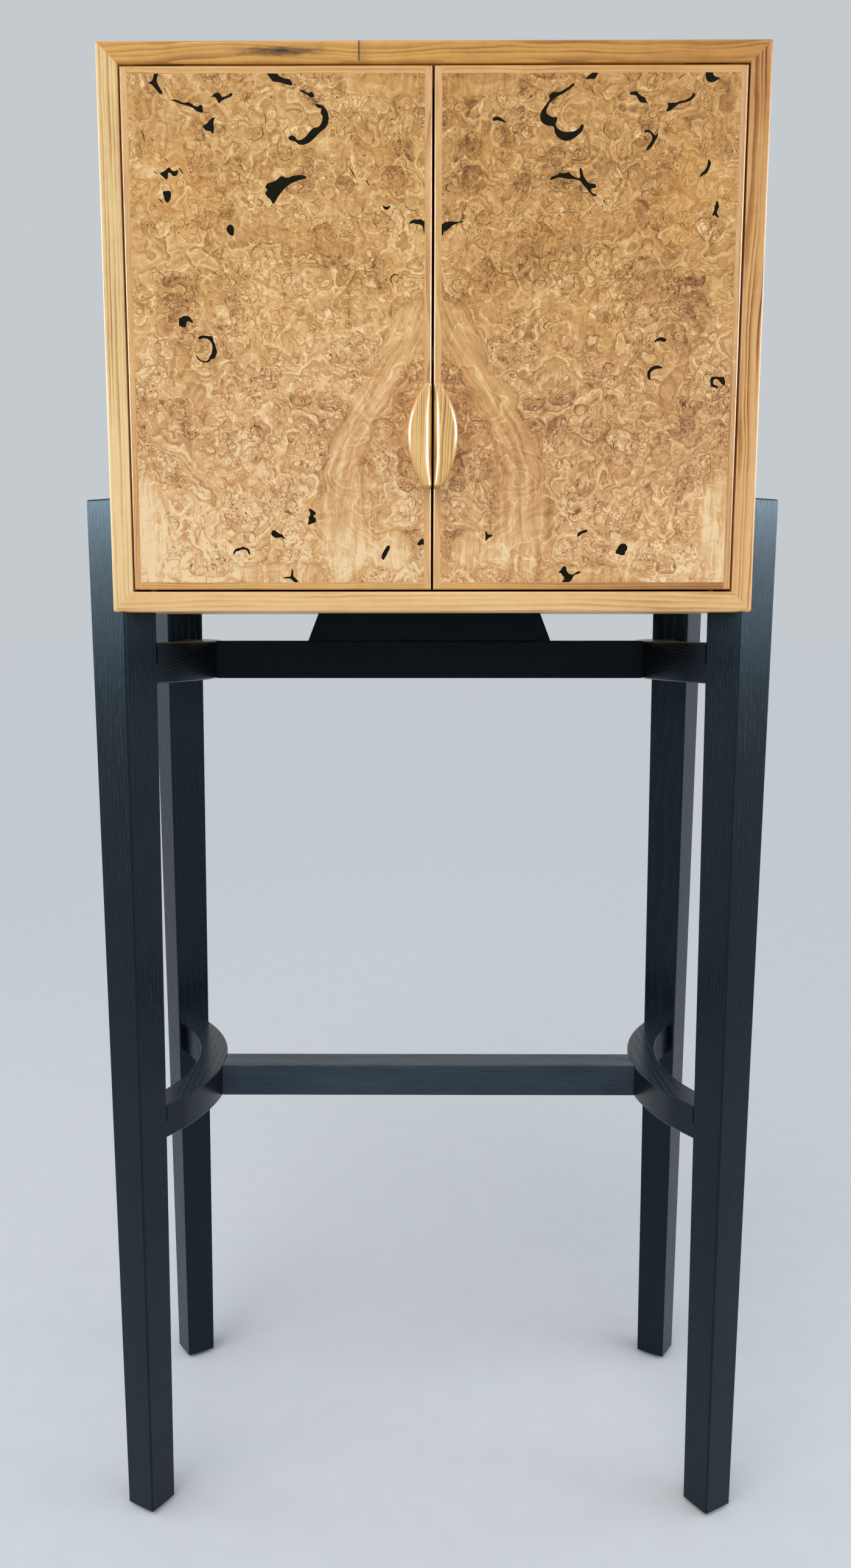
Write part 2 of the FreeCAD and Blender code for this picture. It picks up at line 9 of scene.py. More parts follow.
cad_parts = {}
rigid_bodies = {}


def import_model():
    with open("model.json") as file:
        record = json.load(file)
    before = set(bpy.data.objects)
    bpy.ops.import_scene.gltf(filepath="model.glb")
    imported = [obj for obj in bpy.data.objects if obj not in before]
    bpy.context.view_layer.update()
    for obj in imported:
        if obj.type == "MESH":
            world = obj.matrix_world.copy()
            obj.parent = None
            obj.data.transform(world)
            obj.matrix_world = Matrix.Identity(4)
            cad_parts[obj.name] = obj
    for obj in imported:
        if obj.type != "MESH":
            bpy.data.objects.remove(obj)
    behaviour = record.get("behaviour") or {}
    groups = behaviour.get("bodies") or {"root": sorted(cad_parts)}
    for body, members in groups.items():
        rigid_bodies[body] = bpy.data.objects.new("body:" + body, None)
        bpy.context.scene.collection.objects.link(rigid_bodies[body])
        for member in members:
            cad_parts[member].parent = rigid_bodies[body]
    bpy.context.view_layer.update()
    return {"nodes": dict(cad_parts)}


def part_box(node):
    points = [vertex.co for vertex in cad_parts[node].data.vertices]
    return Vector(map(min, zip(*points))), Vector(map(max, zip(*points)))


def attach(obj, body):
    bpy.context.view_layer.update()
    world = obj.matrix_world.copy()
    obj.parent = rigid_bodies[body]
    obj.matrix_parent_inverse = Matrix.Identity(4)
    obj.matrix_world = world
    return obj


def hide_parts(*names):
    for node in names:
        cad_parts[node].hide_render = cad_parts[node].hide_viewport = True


# The looks of the cabinet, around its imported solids. Metres, +Z up, the doors face -Y.
# Materials count in millimetres of the same frame.

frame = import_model()
MM = 0.001
SIDES = ("left", "right")

# Camera, from the photograph; its turns are in radians
IMAGE_W, IMAGE_H = 1398, 2576
FOCAL_PX = 2127.06
CENTRE_PX = (659.76, 1340.51)
SENSOR = 36.0
CLIP = (0.05, 100)
CAMERA_AT = Vector((-0.02178, -1.42256, 0.94794))
CAMERA_DOWN = 0.14955
CAMERA_LEFT = 0.00578
CAMERA_ROLL = -0.00028


def place(name, data):
    """A new object of the scene with that data."""
    item = bpy.data.objects.new(name, data)
    bpy.context.scene.collection.objects.link(item)
    return item


def add_camera():
    data = bpy.data.cameras.new("camera")
    data.sensor_width = SENSOR
    data.lens = FOCAL_PX / IMAGE_H * SENSOR
    data.shift_x = (IMAGE_W / 2 - CENTRE_PX[0]) / IMAGE_H
    data.shift_y = (CENTRE_PX[1] - IMAGE_H / 2) / IMAGE_H
    data.clip_start, data.clip_end = CLIP
    camera = place("camera", data)
    camera.matrix_world = (Matrix.Translation(CAMERA_AT) @ Matrix.Rotation(CAMERA_LEFT, 4, "Z")
                           @ Matrix.Rotation(math.pi / 2 - CAMERA_DOWN, 4, "X")
                           @ Matrix.Rotation(CAMERA_ROLL, 4, "Z"))
    bpy.context.scene.camera = camera


# Node graphs

def linear(colour):
    """A colour given as sRGB 0-255, as the shader takes it."""
    shares = [value / 255 for value in colour]
    return (*(c / 12.92 if c <= 0.04045 else ((c + 0.055) / 1.055) ** 2.4 for c in shares), 1.0)


class Field:
    """A number that varies over a surface. Arithmetic on it adds Math nodes."""

    def __init__(self, graph, socket):
        self.graph = graph
        self.socket = socket

    def math(self, operation, *others):
        return self.graph.math(operation, self, *others)

    def __add__(self, other):
        return self.math("ADD", other)

    def __sub__(self, other):
        return self.math("SUBTRACT", other)

    def __rsub__(self, other):
        return self.graph.math("SUBTRACT", other, self)

    def __mul__(self, other):
        return self.math("MULTIPLY", other)

    def __truediv__(self, other):
        return self.math("DIVIDE", other)

    def __neg__(self):
        return self * -1

    __radd__, __rmul__ = __add__, __mul__

    def clamp(self):
        return self.math("MAXIMUM", 0).math("MINIMUM", 1)

    def rise(self, low, high):
        """Smooth step from 0 at low to 1 at high; high may be the lower one."""
        if low > high:
            return 1 - self.rise(high, low)
        node = self.graph.add("MapRange", interpolation_type="SMOOTHSTEP")
        self.graph.feed(node.inputs["Value"], self)
        node.inputs["From Min"].default_value = low
        node.inputs["From Max"].default_value = high
        return Field(self.graph, node.outputs["Result"])

    def bell(self, middle, reach):
        """1 at the middle, 0 from that far away on."""
        return ((self - middle).math("ABSOLUTE") / reach).rise(1, 0)


class Graph:
    """The nodes of a material or of the world."""

    def __init__(self, owner):
        owner.use_nodes = True
        self.tree = owner.node_tree
        self.tree.nodes.clear()

    def add(self, kind, **settings):
        node = self.tree.nodes.new("ShaderNode" + kind)
        for key, value in settings.items():
            setattr(node, key, value)
        return node

    def feed(self, socket, value):
        """Link a field or another socket to the socket, or set it to a number."""
        source = value.socket if isinstance(value, Field) else value
        if isinstance(source, bpy.types.NodeSocket):
            self.tree.links.new(source, socket)
        else:
            socket.default_value = source

    def math(self, operation, *values):
        node = self.add("Math", operation=operation)
        for socket, value in zip(node.inputs, values):
            self.feed(socket, value)
        return Field(self, node.outputs[0])

    def length(self, a, b):
        """How far a place on two axes is from their origin."""
        return self.math("SQRT", a * a + b * b)

    def split(self, vector):
        """The three numbers of a vector."""
        parts = self.add("SeparateXYZ")
        self.feed(parts.inputs[0], vector)
        return [Field(self, socket) for socket in parts.outputs]

    def channels(self, node):
        """The three numbers of a texture's colour."""
        parts = self.add("SeparateColor")
        self.feed(parts.inputs[0], node.outputs["Color"])
        return [Field(self, socket) for socket in parts.outputs[:3]]

    def texture(self, kind, at, size, **settings):
        """A texture with features of that size, at a place of three numbers."""
        vector = self.add("CombineXYZ")
        for socket, value in zip(vector.inputs, at):
            self.feed(socket, value)
        node = self.add("Tex" + kind, **settings)
        self.feed(node.inputs["Vector"], vector.outputs[0])
        node.inputs["Scale"].default_value = 1 / size
        return node

    def noise(self, at, size=1.0, detail=2.0, rough=0.5):
        """Noise from 0 to 1."""
        node = self.texture("Noise", at, size)
        node.inputs["Detail"].default_value = detail
        node.inputs["Roughness"].default_value = rough
        return Field(self, node.outputs["Fac"])

    def drift(self, at, size, reach, detail=1.0):
        """Two noises, each from -reach/2 to reach/2."""
        node = self.texture("Noise", at, size)
        node.inputs["Detail"].default_value = detail
        return [(part - 0.5) * reach for part in self.channels(node)[:2]]

    def ramp(self, value, *stops):
        """A colour from pairs of a position and an sRGB colour."""
        node = self.add("ValToRGB")
        elements = node.color_ramp.elements
        while len(elements) < len(stops):
            elements.new(0.5)
        for element, (position, colour) in zip(elements, stops):
            element.position = position
            element.color = linear(colour)
        self.feed(node.inputs[0], value)
        return node.outputs[0]

    def blend(self, share, first, second):
        """Two colours mixed; each is a socket or an sRGB colour."""
        node = self.add("Mix", data_type="RGBA")
        self.feed(node.inputs["Factor"], share)
        for socket, colour in zip(node.inputs[6:8], (first, second)):
            self.feed(socket, linear(colour) if isinstance(colour, tuple) else colour)
        return node.outputs[2]


class Surface(Graph):
    """One material's nodes; x, y and z are millimetres of the frame."""

    def __init__(self, name):
        self.material = bpy.data.materials.new(name)
        super().__init__(self.material)
        output = self.add("OutputMaterial")
        self.shader = self.add("BsdfPrincipled")
        self.feed(output.inputs["Surface"], self.shader.outputs[0])
        scaled = self.add("VectorMath", operation="SCALE")
        scaled.inputs["Scale"].default_value = 1 / MM
        self.feed(scaled.inputs[0], self.add("TexCoord").outputs["Object"])
        self.x, self.y, self.z = self.at = self.split(scaled.outputs[0])

    def grain(self, along, seed):
        """The coordinates, with the axis of the grain first, and noise by the length and the
        width of its features in the grain."""
        a, b, c = {"x": (self.x, self.y, self.z), "y": (self.y, self.x, self.z),
                   "z": (self.z, self.x, self.y)}[along]

        def streaks(length, width, **settings):
            return self.noise((a / length + seed, b / width, c / width), **settings)

        return a, b, c, streaks

    def bump(self, height, reach):
        """Relief: height 1 stands that many millimetres above height 0."""
        node = self.add("Bump")
        node.inputs["Distance"].default_value = reach * MM
        self.feed(node.inputs["Height"], height)
        self.feed(self.shader.inputs["Normal"], node.outputs[0])

    def finish(self, colour, rough, gloss=0.5, metal=0.0, tint=(1, 1, 1)):
        inputs = self.shader.inputs
        inputs["Specular Tint"].default_value = (*tint, 1)
        self.feed(inputs["Base Color"], colour)
        self.feed(inputs["Roughness"], rough)
        inputs["Specular IOR Level"].default_value = gloss
        inputs["Metallic"].default_value = metal
        return self.material


# Wood

def timber(name, along, tones, seed, ring=2.6, pith=(90, -140), rough=0.33, bold=0.44,
           gloss=0.45, extra=None, shade=None):
    """Straight-grained wood. along is the axis of the grain, and pith is where the tree's
    middle was on the other two axes. tones are sRGB, from late wood to early wood. ring is a
    ring's width and bold how dark late wood gets. extra paints over the colour, and shade
    gives a number that is added to the lightness."""
    g = Surface(name)
    a, b, c, streaks = g.grain(along, seed)
    slow = streaks(210, 80) - 0.5
    quick = streaks(40, 9) - 0.5
    r = g.length(b - pith[0] + slow * 14, c - pith[1] + slow * 9) + quick * 1.3
    turns = r / ring + (g.noise((r / 9 + seed, 0, 0), detail=1) - 0.5) * 2.2
    share = turns.math("FRACT")
    number = turns.math("FLOOR")
    strength = g.noise((number * 0.73 + seed, a / 160, 0), detail=1).rise(0.3, 0.75)
    late = share.rise(0.15, 0.93) * share.rise(1.0, 0.9)
    fibre = streaks(30, 0.5, detail=3, rough=0.7)
    pores = streaks(6, 0.32, detail=1).rise(0.6, 0.72)
    cloud = streaks(90, 22, detail=3)
    sheen = streaks(9, 14)
    value = (0.66 - late * (strength * 0.85 + 0.15) * bold + (fibre - 0.5) * 0.34
             + (cloud - 0.5) * 0.5 + (sheen - 0.5) * 0.16 - pores * 0.06)
    # shade adds painted light and shade: the piece lighter or darker across its length or height.
    if shade:
        value = value + shade(g)
    colour = g.ramp(value.clamp(), *zip((0.0, 0.32, 0.62, 1.0), tones))
    if extra:
        colour = extra(g, colour)
    g.bump(fibre * 0.5 - pores * 0.7, 0.04)
    return g.finish(colour, rough + (fibre - 0.5) * 0.12 + pores * 0.1, gloss)


# The case's boards are one wood; the differences in lightness between these tone sets are painted
# light and shade: darker for the top and right boards, paler for the left and bottom ones.
TOP_TONES = ((116, 70, 26), (176, 118, 46), (214, 157, 74), (236, 186, 102))
CASE_TONES = ((150, 100, 50), (198, 148, 88), (228, 182, 122), (244, 206, 150))
LEFT_TONES = ((158, 112, 60), (206, 162, 102), (234, 198, 140), (248, 218, 166))
RIGHT_TONES = ((128, 74, 32), (186, 128, 68), (218, 168, 108), (238, 194, 140))
LIPPING_TONES = ((146, 90, 40), (192, 136, 74), (218, 166, 100), (240, 194, 134))
HANDLE_TONES = ((146, 94, 38), (196, 144, 72), (228, 180, 106), (246, 208, 144))
INSIDE_TONES = ((176, 130, 82), (204, 160, 110), (222, 184, 136), (234, 202, 160))
DARK_BROWN = (44, 22, 4)


def knot(g, colour):
    """The top board's dark streak, and the thin dark line on its front edge."""
    ragged = g.noise((g.x / 12, g.y / 5, g.z / 1.1), detail=3) - 0.5
    streak = g.length((g.x + 139) / 46, (g.z - 1454.5) / 5.0) + ragged * 1.3
    colour = g.blend(streak.rise(1.15, 0.25) * 0.92, colour, (92, 50, 16))
    core = g.length((g.x + 137) / 9, (g.z - 1455) / 1.7) + ragged * 0.8
    colour = g.blend(core.rise(1.1, 0.3) * 0.95, colour, DARK_BROWN)
    front = g.y.rise(-150, -168)
    line = (g.x + 67.2 + ragged * 0.5).bell(0, 1.5) * g.z.rise(1445.5, 1447) * front
    colour = g.blend(line, colour, DARK_BROWN)
    beside = g.x.rise(-67.6, -67.2) * g.x.rise(-50, -66)
    return g.blend(beside * front * 0.3, colour, (150, 98, 48))


class Bulges:
    """Scattered round bulges: their height, 0 outside and 1 at the middles, three random
    numbers for each, and the two distances from its middle."""

    def __init__(self, g, u, z, size, least, most):
        node = g.texture("Voronoi", (u, z, 0), size, voronoi_dimensions="2D")
        node.inputs["Randomness"].default_value = 0.85
        self.luck = g.channels(node)
        distance = Field(g, node.outputs["Distance"])
        reach = (distance / (least + self.luck[0] * (most - least))).math("MINIMUM", 1)
        middle = g.split(node.outputs["Position"])
        self.height = (1 - reach * reach) * self.luck[1].rise(0.12, 0.2)
        self.off = (u - middle[0], z - middle[1])

    def crescents(self, rim, lean, luck, dark, pale):
        """Shade on one side of the rims and light on the other."""
        lean = self.off[1] * lean[1] - self.off[0] * lean[0]
        return self.height.bell(*rim) * luck * ((-lean).clamp() * pale - lean.clamp() * dark)

    def tones(self, rim, dark, faint, inside, even, depth):
        """Dark rims, and insides that are darker or paler by chance."""
        return (self.height.rise(*inside) * (self.luck[2] - even) * depth
                - self.height.bell(*rim) * (self.luck[0] * dark + faint))


class Burl(Surface):
    """Book-matched burl: growth rings cut through where the wood bulges into nests of eyes."""

    def __init__(self):
        super().__init__("burl_wood")
        self.u = self.x.math("ABSOLUTE")
        self.side = self.x.math("SIGN")
        self.flat = (self.u, self.z, self.side * 4)
        self.drifts = (self.drift(self.flat, 85, 34), self.drift(self.flat, 24, 15, detail=1.5),
                       self.drift(self.flat, 6.5, 4.2, detail=1.5))
        self.nest_at = self.drifted(1, 1, 0.6)
        self.eye_at = self.drifted(0.5, 0.6, 1)
        self.patch_at = self.drifted(0.25, 1.2, 1)
        self.smooth = blobs(self, *self.patch_at, SMOOTH_PLACES)
        self.lively = 1 - self.smooth * 0.75
        self.bold = ((self.noise(self.flat, 24, detail=1.5).rise(0.32, 0.62) * 0.75 + 0.25)
                     * (1 - self.smooth * 0.6))
        calm = self.noise((*self.drifted(0, 1, 0), self.side * 4), 42, detail=1.5)
        self.crowd = (calm.rise(0.38, 0.50) * 0.85 + 0.15) * (1 - self.smooth)
        u, z = self.eye_at
        self.nests = Bulges(self, *self.nest_at, 27, 0.30, 0.62)
        self.large = Bulges(self, u + 300, z, 12.5, 0.2, 0.5)
        self.middle = Bulges(self, u, z, 7.0, 0.26, 0.54)
        self.little = Bulges(self, u, z + 70, 3.8, 0.28, 0.55)
        self.busy = self.nests.height.rise(0, 0.22) * self.crowd

    def drifted(self, *shares):
        """The place, moved by shares of the wide, the near and the small drift."""
        return [at + sum(drift[k] * share for drift, share in zip(self.drifts, shares))
                for k, at in enumerate((self.u, self.z))]

    def hill(self):
        """The height whose level lines are the growth rings."""
        nests = self.nests.height.math("POWER", 0.6) * (self.nests.luck[2] * 3.0 + 1.0)
        return (self.noise(self.flat, 62, detail=1.5) * 15
                + self.noise(self.flat, 15, detail=1.5) * 3.4 * (1.1 - self.smooth)
                + (nests + self.large.height * 2.0) * self.crowd
                + (self.middle.height * 1.5 + self.little.height * 0.7) * self.busy)

    def rings(self, hill):
        ring = hill.math("FRACT")
        again = (hill * 0.47 + 0.3).math("FRACT")
        rings = ring.rise(0.1, 0.86) * ring.rise(1.0, 0.88) - 0.3
        broad = again.rise(0.0, 0.8) * again.rise(1.0, 0.9) - 0.4
        fine = (hill * 2.7 + 0.3).math("FRACT") - 0.5
        return (fine * 0.18 - rings * 0.22) * self.bold - broad * self.lively * 0.14

    def weave(self, hill):
        """Clouds, silk and curls, and the flame of the smooth wood."""
        u, z = self.eye_at
        _, near, small = self.drifts
        cloud = self.noise((u, z, self.side * 7), 9, detail=1.5) - 0.5
        silk = self.noise((hill * 4.5, (self.u + self.z) / 22, (self.u - self.z) / 22),
                          detail=2.5, rough=0.6) - 0.5
        curl = self.noise((u + small[1] * 0.6, z - small[0] * 0.6, self.side * 9), 2.6,
                          rough=0.6) - 0.5
        across = self.u + near[0] * 0.5 + small[0] * 0.25 - self.z.rise(1270, 1070) * 92
        flame = self.noise((across / 5.5, (self.z + near[1]) / 60, self.side), detail=3,
                           rough=0.7) - 0.5
        edge = (self.smooth - 0.45).math("ABSOLUTE").rise(0.35, 0.0)
        return ((cloud * 0.36 + silk * 0.34 + curl * 0.42) * self.lively
                + (flame - 0.04) * self.smooth - edge * 0.12)

    def threads(self):
        """Pale threads with a shade beside them."""
        seams = self.noise((*self.nest_at, 90 + self.side), 34, detail=1.5) - 0.5
        thread = seams.math("ABSOLUTE").rise(0.012, 0.0)
        shade = seams.rise(0.0, 0.05) * seams.rise(0.09, 0.0)
        return thread * self.noise(self.flat, 18).rise(0.42, 0.55) * 0.20 - shade * 0.12

    def eyes(self):
        """The shading of the nests, each tilted its own way, and of the eyes."""
        nests, luck, off = self.nests.height, self.nests.luck, self.nests.off
        tilt = (off[0] * (luck[0] * 2 - 0.7) + off[1] * (luck[2] * 2 - 0.9)) / 9
        shade = (nests.rise(0.05, 0.3) * (-tilt).clamp() * 0.09
                 - nests.rise(0.0, 0.12) * nests.rise(0.75, 0.2) * tilt.clamp() * 0.14
                 - nests.bell(0.10, 0.10) * (self.bold * 0.7 + 0.3) * 0.24)
        large, middle, little = self.large, self.middle, self.little
        shade = (shade + large.tones((0.12, 0.10), 0.26, 0.04, (0.3, 0.7), 0.5, 0.16)
                 + large.crescents((0.24, 0.18), (0.20, 0.10), large.luck[0].rise(0.3, 0.5),
                                   dark=0.34, pale=0.10)
                 + middle.crescents((0.30, 0.26), (0.34, 0.15), middle.luck[2].rise(0.35, 0.5),
                                    dark=0.42, pale=0.14))
        fine = (middle.tones((0.14, 0.11), 0.40, 0.12, (0.3, 0.7), 0.5, 0.34)
                + little.tones((0.25, 0.20), 0.36, 0, (0.4, 0.8), 0.6, 0.24)
                - luck[1] * 0.24 + 0.10)
        return shade * self.crowd + fine * self.busy

    def pips(self):
        """Small dark pips in a few of the eyes."""
        middle, little = self.middle, self.little
        pips = (middle.height.rise(0.93, 0.955) * middle.luck[1].rise(0.76, 0.8)
                + little.height.rise(0.80, 0.88) * little.luck[1].rise(0.82, 0.86))
        return (pips * self.busy).clamp()


def burl_wood():
    g = Burl()
    hill = g.hill()
    region = g.noise((g.u, g.z, g.side), 120) - 0.5
    warm = g.noise((*g.patch_at, 30 + g.side), 60)
    speck = g.noise((g.u, g.z, g.side * 3), 0.8, rough=0.7) - 0.5
    # Painted light and shade: the burl darker towards the top, lighter towards the bottom, and
    # darker on the right door.
    value = (0.68 + region * 0.30 + g.weave(hill) + g.rings(hill) + speck * 0.12 + g.threads()
             + g.eyes() + blobs(g, *g.patch_at, PALE_PLACES) * 0.14
             - blobs(g, *g.patch_at, DARK_PLACES) * 0.18 - g.z.rise(1150, 1440) * 0.09
             + g.z.rise(1120, 985) * 0.07 - g.side * 0.04)
    value = (value - 0.6) * (g.z.rise(1330, 1080) * 0.35 + 1.15) + 0.575
    colour = g.ramp(value.clamp(), (0.0, (110, 66, 24)), (0.22, (160, 111, 54)),
                    (0.5, (201, 150, 87)), (0.72, (225, 179, 117)), (1.0, (248, 219, 170)))
    colour = g.blend(warm.rise(0.52, 0.68) * (g.z.rise(1100, 1300) * 0.17 + 0.08), colour,
                     (218, 152, 68))
    colour = g.blend(g.z.rise(1330, 1080) * 0.16, colour, (212, 160, 134))
    colour = g.blend(g.pips() * 0.85, colour, (104, 54, 20))
    g.bump(speck, 0.02)
    return g.finish(colour, 0.36, 0.35)


def blobs(g, u, z, places):
    """Soft patches; each has a middle, half sizes, a lean in degrees and a strength."""
    total = None
    for at_u, at_z, half_u, half_z, lean, strength in places:
        c, s = math.cos(math.radians(lean)), math.sin(math.radians(lean))
        du, dz = u - at_u, z - at_z
        away = g.length((du * c + dz * s) / half_u, (dz * c - du * s) / half_z)
        shape = away.rise(1.15, 0.55) * strength
        total = shape if total is None else total.math("MAXIMUM", shape)
    return total


# Patches of the burl: distance from the gap and height of the middle, half sizes, lean, strength
SMOOTH_PLACES = (
    (26, 1208, 20, 42, 24, 0.9),
    (54, 1162, 20, 44, 34, 1.0),
    (78, 1110, 22, 48, 22, 0.9),
    (84, 1035, 34, 66, 2, 0.85),
    (10, 1218, 16, 30, 0, 0.8),
    (272, 1030, 24, 70, 0, 1.0),
    (40, 1015, 30, 22, 0, 0.9),
    (150, 990, 60, 14, 0, 0.7),
    (40, 1425, 60, 14, 0, 0.7),
    (120, 1292, 60, 9, 12, 0.7),
    (230, 1180, 9, 60, -24, 0.6),
    (262, 1395, 14, 40, 0, 0.5),
)
PALE_PLACES = (
    (40, 1185, 12, 50, 30, 0.1),
    (62, 1140, 12, 44, 28, 0.2),
    (88, 1035, 24, 60, 2, 0.2),
    (270, 1025, 26, 70, 0, 1.0),
    (45, 1005, 34, 22, 10, 0.7),
    (60, 1415, 50, 14, 0, 0.4),
    (215, 1000, 50, 24, 0, 0.7),
    (262, 1380, 14, 40, 0, 0.5),
)
DARK_PLACES = (
    (24, 1130, 20, 48, 0, 0.9),
    (75, 1270, 50, 18, 12, 0.4),
    (205, 1250, 50, 20, 0, 0.4),
    (150, 1360, 70, 20, 0, 0.4),
    (150, 1100, 30, 30, 0, 0.3),
)


# Stained wood's reflections are tinted bluish: a painted reflection of cool surroundings
STAIN_SHINE = (0.50, 0.78, 1.0)
# From the darkest to the palest tone, sRGB
BLACK_TONES = ((2, 3, 6), (6, 10, 15), (20, 30, 40))
# Painted shade: the same stain darker, for the upper stretcher and the support block under the
# case.
SHADED_TONES = ((3, 3, 5), (8, 9, 12), (20, 22, 27))
# Painted sheen: the same stain paler, for the lower stretcher.
PAINTED_SHEEN_TONES = ((22, 26, 33), (50, 58, 68), (74, 82, 92))


def stained(name, along, seed, tones=BLACK_TONES, gloss=0.37, relief=0.10):
    """Open-grained wood, stained blue-black."""
    g = Surface(name)
    _, b, c, streaks = g.grain(along, seed)
    slow = streaks(260, 60) - 0.5
    ring = (g.length(b - 60 + slow * 16, c + 90 + slow * 9) / 3.4).math("FRACT")
    zone = ring.rise(0.65, 0.15) * 0.85 + 0.15
    pores = streaks(13, 0.45, detail=1).rise(0.5, 0.64) * zone
    fibre = streaks(70, 0.9, detail=3, rough=0.6)
    cloud = streaks(90, 30)
    grit = g.noise(g.at, 0.9, rough=0.7) - 0.5
    value = 0.37 + (fibre - 0.5) * 0.4 + (cloud - 0.5) * 0.4 - pores * 0.2 + grit * 0.2
    colour = g.ramp(value.clamp(), *zip((0.0, 0.4, 1.0), tones))
    g.bump(fibre * 0.5 - pores + grit * 0.4, relief)
    return g.finish(colour, 0.23 + pores * 0.2 + (fibre - 0.5) * 0.12, gloss, tint=STAIN_SHINE)


# Metal, resin and plastic

def brushed(name, colour, dark, rough):
    """Metal with fine scratches and a little tarnish."""
    g = Surface(name)
    scratch = g.noise((g.x / 8, g.y / 0.12, g.z / 0.12))
    tarnish = g.noise(g.at, 6, detail=3)
    shade = g.blend(tarnish.rise(0.45, 0.75) * 0.5, colour, dark)
    g.bump(scratch, 0.01)
    return g.finish(shade, rough + (scratch - 0.5) * 0.15 + tarnish * 0.08, metal=1.0)


def filler():
    """Black resin, polished flush with the burl."""
    g = Surface("resin_black")
    haze = g.noise(g.at, 4)
    colour = g.ramp(haze, (0.3, (18, 17, 9)), (0.7, (27, 25, 14)))
    return g.finish(colour, 0.3 + haze * 0.1, 0.06)


def glide_plastic():
    g = Surface("glide_plastic")
    grit = g.noise(g.at, 0.6)
    colour = g.ramp(grit, (0.3, (20, 20, 22)), (0.7, (34, 34, 36)))
    g.bump(grit, 0.03)
    return g.finish(colour, 0.55 + grit * 0.1)


# Pieces

SHARP = math.radians(40)
WELD = 0.001 * MM


def add_piece(name, vertices, faces, material, body, slot=None, replaced=()):
    """A mesh in metres of the frame, riding on a body."""
    mesh = bpy.data.meshes.new(name)
    mesh.from_pydata([tuple(v) for v in vertices], [], faces)
    mesh.validate()
    work = bmesh.new()
    work.from_mesh(mesh)
    bmesh.ops.recalc_face_normals(work, faces=work.faces)
    finish_piece(name, work, mesh, material, body, slot, replaced)


def finish_piece(name, work, mesh, material, body, slot, replaced):
    """The piece of a bmesh; its edges over 40 degrees are sharp."""
    for edge in work.edges:
        edge.smooth = len(edge.link_faces) == 2 and edge.calc_face_angle(0) < SHARP
    bmesh.ops.triangulate(work, faces=[f for f in work.faces if len(f.verts) > 4])
    work.to_mesh(mesh)
    work.free()
    mesh.materials.append(material)
    mesh.polygons.foreach_set("use_smooth", [True] * len(mesh.polygons))
    piece = place(name, mesh)
    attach(piece, body)
    if replaced:
        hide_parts(*replaced)


def body_of(node):
    return node.parent.name.split(":")[-1]


def welded(node):
    """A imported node's mesh with its vertices joined."""
    work = bmesh.new()
    work.from_mesh(node.data)
    bmesh.ops.remove_doubles(work, verts=work.verts, dist=WELD)
    return work


def tube(first, rings, count):
    """The side faces between rings of count vertices each, from the first vertex on."""
    faces = []
    for start in range(first, first + (rings - 1) * count, count):
        for i in range(count):
            j = (i + 1) % count
            faces.append([start + i, start + j, start + count + j, start + count + i])
    return faces


# Resin fills in the burl, outlined in the photograph's pixels, and each door's corners there.
# An outline is x, y, x, y and so on.

